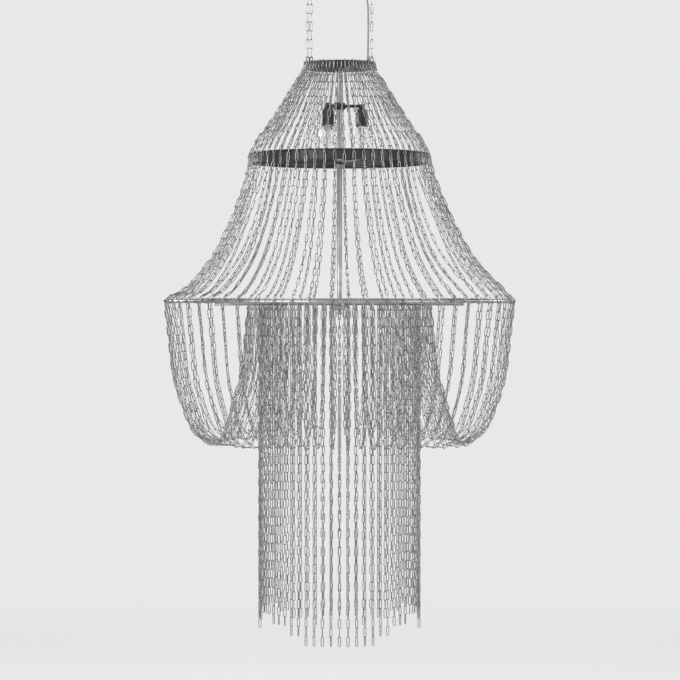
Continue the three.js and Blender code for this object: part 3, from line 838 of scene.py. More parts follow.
@dataclass
class CeilingFitting:
    """Canopy, bracket, terminal block, two hangers and the upper cable gland."""

    levels: Levels
    wall: float = 1.5
    corner: float = 14.0
    lip: float = 4.0
    shank: float = 3.0
    shank_head: float = 5.5
    collar: float = 7.0
    collar_height: float = 4.0
    collar_edge: float = 0.6
    stirrup_height: float = 15.0
    twin_stirrup: float = 14.0
    single_stirrup: float = 5.0
    stirrup_bend: float = 4.7
    bend_steps: int = 5
    bracket: float = 3.0
    body: str = "ceiling"

    def build(self) -> None:
        """Builds the fitting's pieces and dresses the nodes that stay."""
        self._canopy()
        self._hanger("hanger_left", self.twin_stirrup)
        self._hanger("hanger_right", self.single_stirrup)
        self._dress("ceiling_bracket", ZINC_PLATE)
        self._dress("terminal_block", WHITE_RESIN)
        node = "cable_gland_top"
        gland = Gland()
        seat = node_box(node)[1].z - gland.thread_length
        shape = Shape().add(gland.part(), Matrix.Translation((middle_x(node), 0, seat)))
        shape.finish("upper_gland", BLACK_RESIN, (node,), self.body)

    def _dress(self, node: str, surface: Surface) -> None:
        """Gives a node that stays its finish.

        Args:
            node: The node.
            surface: Its finish.
        """
        piece = bpy.data.objects[node]
        piece.data.materials.clear()
        piece.data.materials.append(surface.material())

    def _canopy(self) -> None:
        """Presses the canopy: a round-cornered box with a soft lower edge, open at the top."""
        low, high = node_box("ceiling_canopy")
        bm = box(low, high)
        corners = [edge for edge in bm.edges if abs((edge.verts[0].co - edge.verts[1].co).z) > 1]
        soften(bm, corners, self.corner, 10)
        middle = (low.z + high.z) / 2
        foot = [edge for edge in bm.edges if all(vert.co.z < middle for vert in edge.verts)]
        soften(bm, foot, self.lip, 5)
        top = [face for face in bm.faces if face.normal.z > 0.9]
        bmesh.ops.delete(bm, geom=top, context="FACES_ONLY")
        cleaned(bm)
        bmesh.ops.solidify(bm, geom=bm.faces[:], thickness=self.wall)
        Shape().add(bm).finish("canopy", SATIN_CANOPY, ("ceiling_canopy",), self.body, 30.0)

    def _hanger(self, node: str, inside: float) -> None:
        """Turns a hanger's shank and bends its stirrup.

        Args:
            node: The hanger's node.
            inside: How wide its stirrup is inside.
        """
        canopy_low, canopy_high = node_box("ceiling_canopy")
        bar_level, wire = self.levels.bar, self.levels.stirrup_wire
        shank, collar, edge = self.shank, self.collar, self.collar_edge
        foot = bar_level + self.stirrup_height + wire - wire / 4
        top = canopy_low.z - SEAT_GAP
        low = top - self.collar_height
        head = canopy_high.z - SEAT_GAP
        outline = [(0, foot), (shank, foot), (shank, low - 1.2), (shank + 0.8, low),
                   (collar - edge, low), (collar, low + edge), (collar, top - edge),
                   (collar - edge, top), (shank, top), (shank, -self.bracket),
                   (self.shank_head, head), (0, head)]
        half_height = (self.stirrup_height + wire) / 2
        stirrup = swept(self._stirrup((inside + wire) / 2, half_height), wire / 2, 12, closed=True)
        x = middle_x(node)
        shape = Shape().add(turned(outline, 32), Matrix.Translation((x, 0, 0)))
        shape.add(stirrup, Matrix.Translation((x, 0, bar_level + half_height)))
        shape.finish(node.replace("hanger", "stirrup"), ZINC_PLATE, (node,), self.body)

    def _stirrup(self, half_width: float, half_height: float) -> list[Vector]:
        """Draws the middle line of a stirrup: an upright rectangle with round corners.

        Args:
            half_width: Half its width.
            half_height: Half its height.

        Returns:
            The closed line's points.
        """
        bend = min(self.stirrup_bend, half_width)
        line = []
        for quarter, (side, end) in enumerate(((1, 1), (-1, 1), (-1, -1), (1, -1))):
            centre = (side * (half_width - bend), end * (half_height - bend))
            line += [on_circle(centre, bend, (quarter + step / self.bend_steps) * QUARTER_TURN)
                     for step in range(self.bend_steps + 1)]
        return upright(line)


@dataclass
class Suspension:
    """Three top links and the three short chains that hang from them."""

    levels: Levels
    link: LinkForm = field(default_factory=lambda: LinkForm(end_steps=9, sides=10))
    count: int = 6
    play: float = 0.05

    def build(self) -> None:
        """Hangs the links."""
        mesh = self.link.mesh()
        reach, wire = self.link.reach, self.link.wire
        top = self.levels.bar + (self.levels.stirrup_wire + wire) / 2 + SEAT_GAP
        lowest = self.levels.eye - (self.levels.eye_wire + wire) / 2 - 2 * self.play
        first = top - reach + wire + self.play
        pitch = (first - lowest - reach) / (self.count - 1)
        for side in ("left_outer", "left_inner", "right"):
            node = f"top_link_{side}"
            x = middle_x(node)
            Shape().stamp(mesh, self._place(x, top, True)).finish(
                f"top_link_of_{side}", CHAIN_NICKEL, (node,), "top_links", None)
            places = [self._place(x, first - i * pitch, i % 2 == 1) for i in range(self.count)]
            Shape().stamp(mesh, *places).finish(
                f"{side}_hanging_chain", CHAIN_NICKEL, (f"chain_{side}",), f"{side}_chain", None)

    def _place(self, x: float, top: float, across: bool) -> Matrix:
        """Returns where a link hangs, its top wire's middle at a level."""
        width = Vector((0, 1, 0)) if across else Vector((1, 0, 0))
        return placed(Vector((x, 0, top - self.link.reach / 2)), width, Vector((0, 0, 1)))


@dataclass
class LampCable:
    """The grey lamp cable, which hangs from the canopy's gland to the top hoop's."""

    points: tuple[Place, ...] = (
        (64.0, 0.0, -18.0), (64.0, 0.0, -27.0), (64.2, 0.2, -36.0), (65.6, 0.5, -46.0),
        (67.6, 0.8, -56.0), (69.6, 1.0, -67.0), (71.0, 1.1, -79.0), (71.6, 1.2, -92.0),
        (71.8, 1.2, -106.0), (71.9, 1.1, -120.0), (71.8, 0.9, -135.0), (71.6, 0.7, -150.0),
        (71.4, 0.4, -164.0), (71.2, 0.1, -177.0), (71.2, 0.0, -189.0), (71.2, 0.0, -197.0),
        (71.2, 0.0, -204.8),
    )
    diameter: float = 5.0
    split: int = 6
    upper_bend: Pair = (-30.0, -70.0)
    lower_bend: Pair = (-80.0, -104.0)
    sides: int = 20
    sleeve_bore: float = 3.4
    sleeve_wall: float = 0.6
    sleeve_top: float = -202.0
    sleeve_floor: float = -207.0
    sleeve_foot: float = -210.4
    inner_end: float = -221.0

    def build(self) -> None:
        """Draws the cable in two stretches, one after the other, and the sleeve at its lower end.
        """
        line = smooth_line([Vector(point) for point in self.points])
        at = self.split * PER_SPAN
        self._stretch("cable_upper", line[:at + 1])
        self._stretch("cable_lower", line[at:])
        self._sleeve()

    def _sleeve(self) -> None:
        """Turns the cup on the lower gland, in which the cable's end tilts, and its tail."""
        bore, radius = self.sleeve_bore, self.diameter / 2
        outer = bore + self.sleeve_wall
        outline = [(0, self.sleeve_floor), (bore, self.sleeve_floor),
                   (bore, self.sleeve_top - 0.2), (outer - 0.3, self.sleeve_top),
                   (outer, self.sleeve_top - 0.4), (outer, self.sleeve_foot),
                   (radius, self.sleeve_foot), (radius, self.inner_end), (0, self.inner_end)]
        x, y, _ = self.points[-1]
        shape = Shape().add(turned(outline, 24), Matrix.Translation((x, y, 0)))
        shape.finish("cable_sleeve", GREY_SHEATH)

    def _stretch(self, name: str, line: list[Vector]) -> None:
        """Makes one stretch of cable.

        Args:
            name: The piece's name.
            line: Its middle line, in millimetres.
        """
        piece = dressed(name, swept(line, self.diameter / 2, self.sides), GREY_SHEATH, 50.0)
        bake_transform(piece)
        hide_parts("lamp_cable")
        path = [point * MM for point in line]
        Route(path).length
        log.info("%s: %.1f mm of cable", name, Route(line).length)


@dataclass
class Hoops:
    """The black top hoop with its crossbar and eyes, and the black middle hoop with its arms."""

    levels: Levels
    thickness: float = 2.5
    top_height: float = 15.0
    middle_height: float = 25.0
    edge: float = 0.6
    crossbar_height: float = 8.0
    crossbar_width: float = 24.0
    bar_edge: float = 0.8
    eye: LinkForm = field(default_factory=lambda: LinkForm(14.3, 8.8, 2.2, 9, 12))
    eye_foot: float = 6.4
    stem: float = 6.5
    stem_play: float = 0.2
    socket_wall: float = 4.8
    pins: int = 20
    pin_radius: float = 0.8
    stand_off: float = 4.0
    threading_wire: float = 2.4
    top_inset: float = 3.0
    arm_height: float = 6.0
    arm_width: float = 10.0
    arm_hub: float = 12.0
    arm_angles: tuple[float, ...] = (60.0, 180.0, 300.0)
    steps: int = 180

    @property
    def top_radius(self) -> float:
        """Returns the top hoop's outer radius, inside the room that the strands need."""
        return self.levels.top_radius - self.top_inset

    @property
    def top_thread(self) -> Point:
        """Returns the radius and level of the wire that the cone's strands hang on."""
        return self.top_radius + self.stand_off, self.levels.top_rim - 1.0

    @property
    def middle_thread(self) -> Point:
        """Returns the radius and level of the wire that holds the strands at the middle hoop."""
        return self.levels.middle_radius + self.stand_off + 1.0, self.levels.middle_rim - 0.5

    def build(self) -> None:
        """Builds both hoops and the lower gland."""
        self._top()
        self._middle()
        node = "cable_gland_hoop"
        place = Matrix.Translation((middle_x(node), 0, self.levels.top_rim + SEAT_GAP))
        shape = Shape().add(Gland().part(), place @ Matrix.Rotation(math.pi, 4, "X"))
        shape.finish("lower_gland", BLACK_RESIN, (node,))

    def _band(self, radius: float, rim: float, height: float) -> Shape:
        """Returns a hoop's band of upright strip, as the start of its shape."""
        return Shape().add(flat_ring((radius - self.thickness, radius), (rim - height, rim),
                                     self.edge, self.steps))

    def _wire(self, shape: Shape, place: Point, band: Point) -> None:
        """Adds a threading wire and the pins between the strands that hold it off its band.

        Args:
            shape: The hoop's shape.
            place: The wire's radius and level.
            band: The radius and level where the pins meet the band.
        """
        shape.add(round_ring(place, self.threading_wire, 10, self.steps))
        for i in range(self.pins):
            angle = 360 * i / self.pins
            ends = [around(angle, *place), around(angle, *band)]
            shape.add(swept(ends, self.pin_radius, 6))

    def _top(self) -> None:
        """Builds the top hoop with its crossbar, the stem's socket and the eyes on their feet."""
        radius, rim = self.top_radius, self.levels.top_rim
        shape = self._band(radius, rim, self.top_height)
        low = rim - self.crossbar_height
        end = radius - self.thickness / 2
        shape.add(bar((-end, end), self.crossbar_width, (low, rim), self.bar_edge, 3))
        foot = low - 1.5 * self.crossbar_height
        bore = self.stem + self.stem_play
        outer = bore + self.socket_wall
        shape.add(turned([(bore, foot), (outer - 1.0, foot), (outer, foot + 1.0),
                          (outer, low - 2.0), (outer + 2.0, low + 0.4), (bore, low + 0.4)], 40))
        eye = self.eye.mesh()
        flat = Matrix.Scale(0.55, 4, Vector((0, 1, 0)))
        for node in ("chain_left_outer", "chain_left_inner", "chain_right"):
            x = middle_x(node)
            shape.stamp(eye, Matrix.Translation((x, 0, self.levels.eye - self.eye.reach / 2)))
            plate = turned([(0, rim), (self.eye_foot, rim), (self.eye_foot - 0.4, rim + 0.8),
                            (0, rim + 1.1)], 28)
            shape.add(plate, Matrix.Translation((x, 0, 0)) @ flat)
        self._wire(shape, self.top_thread, (radius - 0.4, rim - 2.4))
        shape.finish("upper_hoop", BLACK_STEEL, ("top_hoop",))

    def _middle(self) -> None:
        """Builds the middle hoop with its arms and their hub."""
        radius, rim = self.levels.middle_radius, self.levels.middle_rim
        shape = self._band(radius, rim, self.middle_height)
        low = rim - self.middle_height
        high = low + self.arm_height
        arm = bar((self.stem + 1.5, radius - self.thickness / 2), self.arm_width, (low, high),
                  self.bar_edge, 2)
        shape.add(arm, *map(about_z, self.arm_angles))
        shape.add(flat_ring((self.stem + self.stem_play, self.arm_hub), (low - 0.5, high + 0.6),
                            self.bar_edge, 40))
        self._wire(shape, self.middle_thread, (radius - 0.4, rim - 2.0))
        shape.finish("centre_hoop", BLACK_STEEL, ("middle_hoop",))


@dataclass
class Rings:
    """The bright outer ring, the two inner rings and the cross of spokes that carries them."""

    levels: Levels
    steps: int = 240
    crease: float = 60.0
    spoke_height: float = 5.5
    spoke_width: float = 3.0
    spoke_edge: float = 0.5
    spoke_angles: tuple[float, ...] = (46.5, 133.5, 226.5, 313.5)
    hub: float = 22.0
    hub_height: float = 14.0
    tie_wire: float = 1.0
    swag_wire: float = 2.0
    swag_wire_out: float = 3.6

    @property
    def swag_thread(self) -> Point:
        """Returns the radius and level of the wire that the swags end on."""
        radius, level = self.levels.swag_ring
        return radius + self.levels.swag_rod / 2 + self.swag_wire_out, level

    def build(self) -> None:
        """Builds the rings and the spokes."""
        levels = self.levels
        radius, level = levels.ring
        outer = Shape().add(round_ring(levels.ring, levels.tube, 16, self.steps))
        outer.add(round_ring((radius, levels.thread_level), levels.thread, 10, self.steps))
        self._ties(outer, LinkForm(12.6, 10.4, self.tie_wire),
                   (radius, (level + levels.thread_level) / 2 - 1.2), 0.0)
        outer.finish("wide_ring", RING_NICKEL, ("outer_ring",), crease=self.crease)
        radius, level = self.swag_thread
        inner = Shape().add(round_ring(levels.swag_ring, levels.swag_rod, 14, self.steps))
        inner.add(round_ring(self.swag_thread, self.swag_wire, 8, self.steps))
        self._ties(inner, LinkForm(10.6, 8.4, self.tie_wire, 4),
                   ((radius + levels.swag_ring[0]) / 2 - 0.6, level), QUARTER_TURN)
        inner.finish("swag_rod", RING_NICKEL, ("swag_ring",), crease=self.crease)
        rod = Shape().add(round_ring(levels.drop_ring, levels.drop_rod, 10, self.steps))
        rod.finish("drop_rod", RING_NICKEL, ("drop_ring",), crease=self.crease)
        self._spider()

    def _ties(self, shape: Shape, form: LinkForm, place: Point, tilt: float) -> None:
        """Adds wire ties round a ring and its threading wire, between the strands.

        Args:
            shape: The ring's shape.
            form: The tie's size.
            place: The radius and level of its middle.
            tilt: How far it leans over in its own plane.
        """
        mesh = form.mesh()
        lean = Matrix.Rotation(tilt, 4, "Y")
        for i in range(STRANDS):
            angle = FIRST_STRAND + 360 * (i + 0.5) / STRANDS
            outward, _ = standing(angle)
            shape.stamp(mesh, placed(around(angle, *place), outward, Vector((0, 0, 1))) @ lean)

    def _spider(self) -> None:
        """Builds the hub, its finial and the four spokes."""
        levels, hub = self.levels, self.hub
        top = levels.swag_ring[1] - levels.swag_rod / 2 - SEAT_GAP
        spoke = bar((hub / 2, levels.ring[0] + levels.tube / 2), self.spoke_width,
                    (top - self.spoke_height, top), self.spoke_edge, 2)
        shape = Shape().add(spoke, *map(about_z, self.spoke_angles))
        low = top - self.hub_height
        neck = low - 6.4
        outline = [(0, low - 16.0), (1.6, low - 15.8), (3.4, low - 15.0), (5.4, low - 13.2),
                   (6.4, low - 10.8), (6.0, low - 8.6), (4.8, neck), (5.4, neck + 1.6),
                   (9.0, neck + 3.2), (14.0, low - 1.4), (18.6, low + 0.6), (21.2, low + 3.0),
                   (hub, low + 5.2), (hub, top - 0.8), (hub - 0.8, top), (0, top)]
        shape.add(turned(outline, 56))
        shape.finish("spoke_cross", RING_NICKEL, ("lower_spider",))


@dataclass
class LampCluster:
    """The satin stem, the black hub with three lamp arms, the lampholders and the bulbs."""

    levels: Levels
    hoops: Hoops
    shoulder: float = 12.0
    shoulder_height: float = 6.0
    lamp_drop: float = 107.0
    hub: float = 16.0
    hub_height: float = 18.0
    hub_line: tuple[Point, ...] = ((0, -0.5), (0.72, -0.5), (0.9, -0.42), (1, -0.26), (1, 0.26),
                                   (0.92, 0.4), (0.6, 0.5), (0, 0.5))
    arm: float = 4.0
    cup_rim: float = 0.6
    reach: float = 56.0
    holder: float = 13.5
    holder_height: float = 46.0
    holder_wall: float = 1.6
    ribs: int = 28
    cap: float = 10.0
    cap_length: float = 22.0
    threads: int = 5
    thread_pitch: float = 3.0
    bulb: float = 22.5
    glass_wall: float = 0.7
    glass_steps: int = 14
    filaments: int = 4
    angles: tuple[float, ...] = (0.0, 120.0, 240.0)

    def build(self) -> None:
        """Builds the stem, the arms and the three lamps."""
        self._stem()
        self._arms()
        for number, angle in enumerate(self.angles, 1):
            self._lamp(number, angle)

    @property
    def level(self) -> float:
        """Returns the level of the lamp arms."""
        return self.levels.top_rim - self.lamp_drop

    def _stem(self) -> None:
        """Turns the stem with the shoulders that carry the spider and the middle hoop."""
        levels, hoops = self.levels, self.hoops
        top = levels.top_rim - hoops.crossbar_height - 2 * SEAT_GAP
        low = levels.swag_ring[1] - levels.swag_rod / 2 + 0.1
        seat = levels.middle_rim - hoops.middle_height - 1.0
        stem, wide, foot = hoops.stem, self.shoulder, self.shoulder_height
        outline = [(0, low), (wide, low), (wide, low + foot), (wide - 1.5, low + foot + 1.5),
                   (stem + 1.2, low + 1.8 * foot), (stem, low + 2.2 * foot),
                   (stem, seat - 2.2 * foot), (stem + 1.2, seat - 1.8 * foot),
                   (wide - 1.5, seat - foot - 1.5), (wide, seat - foot), (wide, seat),
                   (stem, seat), (stem, top), (0, top)]
        Shape().add(turned(outline, 40)).finish("centre_stem", STEM_NICKEL, ("lamp_stem",))

    def _arms(self) -> None:
        """Builds the hub on the stem, its three arms and the cups that carry the lampholders."""
        outline = [(radius * self.hub, level * self.hub_height) for radius, level in self.hub_line]
        shape = Shape().add(turned(outline, 48), Matrix.Translation((0, 0, self.level)))
        arm, holder, rim = self.arm, self.holder, self.cup_rim
        line = [Vector((self.hub / 2, 0, self.level)), Vector((self.reach, 0, self.level))]
        for turn in map(about_z, self.angles):
            shape.add(swept(line, arm, 20), turn)
            cup = turned([(0, -arm - rim), (0.5 * holder, -arm - rim), (0.56 * holder, -arm),
                          (0.56 * holder, arm - 0.4), (0.4 * holder, arm + 0.8),
                          (0, arm + 0.8)], 32)
            shape.add(cup, turn @ Matrix.Translation((self.reach, 0, self.level)))
        shape.finish("lamp_arms", BLACK_STEEL, ("lamp_stem",))

    def _lamp(self, number: int, angle: float) -> None:
        """Builds one lampholder and its bulb.

        Args:
            number: The lamp's number.
            angle: Its arm's angle.
        """
        x, y = on_circle((0, 0), self.reach, math.radians(angle))
        place = Matrix.Translation((x, y, self.level - self.arm - self.cup_rim - SEAT_GAP))
        holder, wall, height = self.holder, self.holder_wall, self.holder_height
        seat = -height + self.cap_length + wall
        outline = [(0, 0), (0.5 * holder, 0), (0.62 * holder, -0.02 * height),
                   (0.9 * holder, -0.12 * height), (holder, -0.2 * height),
                   (holder, -0.82 * height), (holder + wall, -0.85 * height),
                   (holder + wall, -0.99 * height), (holder + 1, -height),
                   (holder - wall, -height), (holder - wall, seat), (0, seat)]
        shape = Shape().add(turned(outline, 48), place)
        rib = bar((holder - 0.5, holder + 0.5), 1.0, (-0.8 * height, -0.24 * height), 0.2, 1)
        shape.add(rib, *(place @ turn for turn in evenly(self.ribs)))
        shape.finish(f"holder_{number}", BLACK_RESIN, (f"lampholder_{number}",))
        self._bulb(number, place @ Matrix.Translation((0, 0, seat - SEAT_GAP)))

    def _bulb(self, number: int, place: Matrix) -> None:
        """Builds a bulb that hangs from its contact: screw cap, glass and filaments.

        Args:
            number: The lamp's number.
            place: Where its contact is.
        """
        node = (f"bulb_{number}",)
        cap, foot = self.cap, -self.cap_length
        outline = [(0, 0), (4.2, 0), (4.6, -1.0), (6.6, -2.0)]
        for i in range(self.threads):
            level = -4.0 - i * self.thread_pitch
            outline += [(cap - 0.9, level), (cap, level - self.thread_pitch / 2)]
        outline += [(cap - 0.6, foot + 2.2), (cap - 0.6, foot), (0, foot)]
        Shape().add(turned(outline, 40), place).finish(
            f"bulb_cap_{number}", NICKELLED_CAP, node, crease=None)
        centre = foot - 1.12 * self.bulb
        neck = cap - 1.4
        start = math.acos(neck / self.bulb) - math.radians(14)
        outline = [(neck, foot + 0.4), (neck, foot - 2.0)]
        outline += [on_circle((0, centre), self.bulb,
                              start + (-QUARTER_TURN - start) * step / self.glass_steps)
                    for step in range(self.glass_steps)]
        outline.append((0, centre - self.bulb))
        bm = turned(outline, 48)
        bmesh.ops.solidify(bm, geom=bm.faces[:], thickness=self.glass_wall)
        Shape().add(bm, place).finish(f"bulb_glass_{number}", BULB_GLASS, node, crease=None)
        light = Shape()
        for i in range(self.filaments):
            turn = FULL_TURN * (i + 0.5) / self.filaments
            ends = [Vector((*on_circle((0, 0), 3.0, turn), foot - 6.0)),
                    Vector((*on_circle((0, 0), 8.0, turn), centre - 8.0))]
            light.add(swept(ends, 0.9, 8), place)
        light.finish(f"filaments_{number}", FILAMENT, node)


@dataclass(frozen=True)
class Wander:
    """How far a strand strays from its ideal line, and how it turns about itself."""

    drifts: tuple[float, float, float] = (2.8, 5.0, 5.0)
    turns: Pair = (0.34, 0.24)
    turn_lengths: Pair = (520.0, 210.0)
    hold_shares: Pair = (0.4, 0.7)
    depth: float = 0.02


class Strand:
    """One chain laid along a line that lies in the upright plane at an angle round the lamp."""

    def __init__(self, angle: float, outline: Sequence[Point], held: tuple[int, int], pull: float,
                 link: LinkForm, wander: Wander, chance: random.Random) -> None:
        """Draws the strand's line.

        Args:
            angle: Degrees from the front.
            outline: [radius, height] points from its upper end.
            held: Which of those points lie in the middle hoop's wire and on the wide ring.
            pull: How far it is drawn sideways halfway between those two.
            link: The link's size.
            wander: How much it strays.
            chance: Where its small irregularities come from.
        """
        _, self.along = standing(angle)
        self.link = link
        self.route = Route(smooth_line([around(angle, *point) for point in outline]))
        self.hold, self.ring = (self.route.marks[point * PER_SPAN] for point in held)
        self.pull = pull
        self.wander = wander
        self.drifts = [chance.uniform(-drift, drift) for drift in wander.drifts]
        self.starts = [chance.uniform(0, FULL_TURN) for _ in wander.turns]
        self.hold_share = chance.uniform(*wander.hold_shares)

    def _point(self, distance: float) -> Vector:
        """Finds a point of the strand's line, with its sideways drift.

        Args:
            distance: How far along the line it lies.

        Returns:
            The point.
        """
        hold = self.hold
        first, second, third = self.drifts
        if distance < hold:
            side = first * math.sin(math.pi * max(distance, 0) / hold)
        else:
            share = min((distance - hold) / (self.route.length - hold), 1)
            side = second * math.sin(math.pi * share) + third * math.sin(FULL_TURN * share) / 2
            if distance < self.ring:
                share = (distance - hold) / (self.ring - hold)
                side += self.pull * math.sin(math.pi * share)
        return self.route.at(distance) + self.along * side

    def _meetings(self) -> list[float]:
        """Works out where one link meets the next.

        Returns:
            The meetings as distances along the line.
        """
        inside = self.link.inside
        over = (self.link.wire + 1.0) / 2
        above = 2 * round(self.hold / inside / 2)
        pitch = (self.hold + over) / (above + self.hold_share)
        marks = [k * pitch - over for k in range(above + 2)]
        start = marks[-1]
        rest = self.route.length + over - start
        count = 2 * math.ceil(rest / inside / 2 - 0.02)
        return marks + [start + rest * k / count for k in range(1, count + 1)]

    def places(self) -> list[Matrix]:
        """Works out where each link goes.

        The links at the wires stand outwards, so that the wires can pass through them.

        Returns:
            One matrix for each link, from the upper end down.
        """
        found = []
        wander = self.wander
        marks = self._meetings()
        for i, (start, end) in enumerate(zip(marks, marks[1:])):
            upper, lower = self._point(start), self._point(end)
            up = (upper - lower).normalized()
            width = self.along.cross(up).normalized()
            roll = (i % 2) * QUARTER_TURN
            for turn, length, begin in zip(wander.turns, wander.turn_lengths, self.starts):
                roll += turn * math.sin(begin + FULL_TURN * start / length)
            found.append(placed((upper + lower) / 2, width, up) @ Matrix.Rotation(roll, 4, "Z"))
        return found


@dataclass
class Curtains:
    """The strands of the cone, the drape and the swags, each one chain from top to end."""

    levels: Levels
    hoops: Hoops
    rings: Rings
    link: LinkForm = field(default_factory=LinkForm)
    wander: Wander = field(default_factory=Wander)
    cone_line: tuple[Point, ...] = ((91.5, 570), (115, 534), (153, 472), (186, 423), (205, 399))
    drape_line: tuple[Point, ...] = ((227, 345), (231, 322), (243, 285), (258, 245), (275, 204),
                                     (306, 140), (329, 102), (361, 62), (402, 22))
    lean: float = 11.0
    over_ring: tuple[Point, ...] = ((425, 7), (432, 4), (436, -4), (434, -20))
    swag_line: tuple[Point, ...] = ((426, -90), (414, -195), (394, -264), (369, -326), (336, -355),
                                    (305, -364), (286, -326), (264, -254), (244, -175), (234, -80),
                                    (228, -20))
    front_rise: float = 0.014
    gaps: tuple[Pair, ...] = ((54, 26), (126, 26), (234, 17), (306, 17))
    gap_reach: float = 9.0

    def build(self) -> None:
        """Lays every strand and sorts its links into cone, drape and two halves of swags."""
        mesh = self.link.mesh()
        chance = random.Random(SEED)
        cone, drape, right, left = (Shape() for _ in range(4))
        for i in range(STRANDS):
            strand = self._strand(FIRST_STRAND + 360 * i / STRANDS, chance)
            target = cone
            for place in strand.places():
                height = place.translation.z
                if target is cone and height < self.hoops.middle_thread[1] - self.link.reach / 2:
                    target = drape
                if target is drape and height < self.levels.thread_level:
                    target = right if i < STRANDS / 2 else left
                target.stamp(mesh, place)
        for shape, name, node in ((cone, "cone_strands", "cone_curtain"),
                                  (drape, "drape_strands", "drape_curtain"),
                                  (right, "swag_strands_right", "swag_curtain"),
                                  (left, "swag_strands_left", "swag_curtain")):
            shape.finish(name, CHAIN_NICKEL, (node,), crease=None)

    def _strand(self, angle: float, chance: random.Random) -> Strand:
        """Draws the strand at an angle.

        Args:
            angle: Degrees from the front.
            chance: Where its small irregularities come from.

        Returns:
            The strand.
        """
        base = self.levels.thread_level
        deep = 1 - chance.uniform(0, self.wander.depth)
        deep -= self.front_rise * max(math.cos(math.radians(angle)), 0)
        outline = [self.hoops.top_thread]
        outline += [(radius, base + height) for radius, height in self.cone_line]
        hold = len(outline)
        radius, level = self.hoops.middle_thread
        outline.append((radius - 0.6, level))
        lean = self.lean * math.sin(math.radians(angle))
        share = 1 / (len(self.drape_line) - 1)
        outline += [(radius + lean * i * share, base + height)
                    for i, (radius, height) in enumerate(self.drape_line)]
        ring = len(outline)
        outline += [(radius, base + height) for radius, height in self.over_ring]
        outline += [(radius, base + deep * height) for radius, height in self.swag_line]
        outline.append(self.rings.swag_thread)
        return Strand(angle, outline, (hold, ring), self._pull(angle), self.link, self.wander,
                      chance)

    def _pull(self, angle: float) -> float:
        """Works out how far a strand of the drape is drawn away from the gaps.

        Args:
            angle: The strand's, in degrees from the front.

        Returns:
            The distance, towards larger angles.
        """
        pull = 0.0
        for middle, width in self.gaps:
            away = angle - middle
            pull += math.copysign(width * math.exp(-(away / self.gap_reach) ** 2), away)
        return pull


@dataclass
class Drops:
    """Thirty pairs of straight drops, each pair joined by a narrow link over the drop rod."""

    levels: Levels
    link: LinkForm = field(default_factory=LinkForm)
    pairs: int = 30
    joining_wire: float = 1.2
    joining_width: float = 3.8
    twist: float = 1.2

    @property
    def half_step(self) -> float:
        """Returns half the angle between two drops, in radians."""
        return math.pi / (2 * self.pairs)

    @property
    def spacing(self) -> float:
        """Returns the distance from a pair's middle to each of its strands."""
        return self.levels.drop_ring[0] * math.sin(self.half_step)

    def build(self) -> None:
        """Hangs all the pairs."""
        mesh = self.link.mesh()
        joining = LinkForm(2 * self.spacing + self.link.wire + 0.8, self.joining_width,
                           self.joining_wire, 5, 6).mesh()
        chance = random.Random(SEED + 2)
        for index in range(self.pairs):
            self._pair(index, mesh, joining, chance)

    def _pair(self, index: int, mesh: bpy.types.Mesh, joining: bpy.types.Mesh,
              chance: random.Random) -> None:
        """Hangs one pair on its own body.

        Args:
            index: Which pair it is, from 0.
            mesh: A link of its chains.
            joining: The link that joins its chains over the rod.
            chance: Where its chains' twist comes from.
        """
        outward, along = standing(360 * (index + 0.5) / self.pairs - 90 / self.pairs)
        node = f"drop_pair_{index + 1:02d}"
        radius, level = self.levels.drop_ring
        reach = radius * math.cos(self.half_step) ** 2
        over = level + self.levels.drop_rod / 2 + self.joining_wire / 2 + 0.1
        shape = Shape()
        shape.stamp(joining, placed(outward * reach + Vector((0, 0, over)), outward, along))
        top = over + (self.joining_wire + self.link.wire) / 2
        for side, links in zip((-1, 1), self._counts(node, along)):
            turn = chance.uniform(-self.twist, self.twist)
            for k in range(links):
                centre = (outward * reach + along * (side * self.spacing)
                          + Vector((0, 0, top - self.link.reach / 2 - k * self.link.inside)))
                roll = (k % 2) * QUARTER_TURN + turn * (k / links) ** 1.4
                width = outward * math.cos(roll) + along * math.sin(roll)
                shape.stamp(mesh, placed(centre, width, Vector((0, 0, 1))))
        shape.finish(f"drops_{index + 1:02d}", CHAIN_NICKEL, (node,), f"drop_{index + 1:02d}",
                     None)

    def _counts(self, node: str, along: Vector) -> tuple[int, ...]:
        """Reads from the frame how many links each drop of a pair has.

        Args:
            node: The pair's node.
            along: The direction along the ring at its middle.

        Returns:
            The count of the drop that comes first going round, and of the other.
        """
        verts = bpy.data.objects[node].data.vertices
        lows = [min(vert.co.z for vert in verts if side * vert.co.dot(along) > 0) / MM
                for side in (-1, 1)]
        wire = self.link.wire
        top = self.levels.drop_ring[1] + self.levels.drop_rod / 2 + SEAT_GAP + wire
        return tuple(round((top - low - 2 * wire) / self.link.inside) for low in lows)


@dataclass(frozen=True)
class SoftLamp:
    """A square soft lamp of the studio: its side in metres and its power in watts."""

    name: str
    place: Place
    size: float
    power: float

    def hang(self, aim: Place) -> None:
        """Hangs the lamp and points it.

        Args:
            aim: What it points at.
        """
        data = bpy.data.lights.new(self.name, "AREA")
        data.size = self.size
        data.energy = self.power
        lamp = in_scene(self.name, data)
        lamp.location = self.place
        ahead = Vector(aim) - Vector(self.place)
        lamp.rotation_euler = ahead.to_track_quat("-Z", "Y").to_euler()


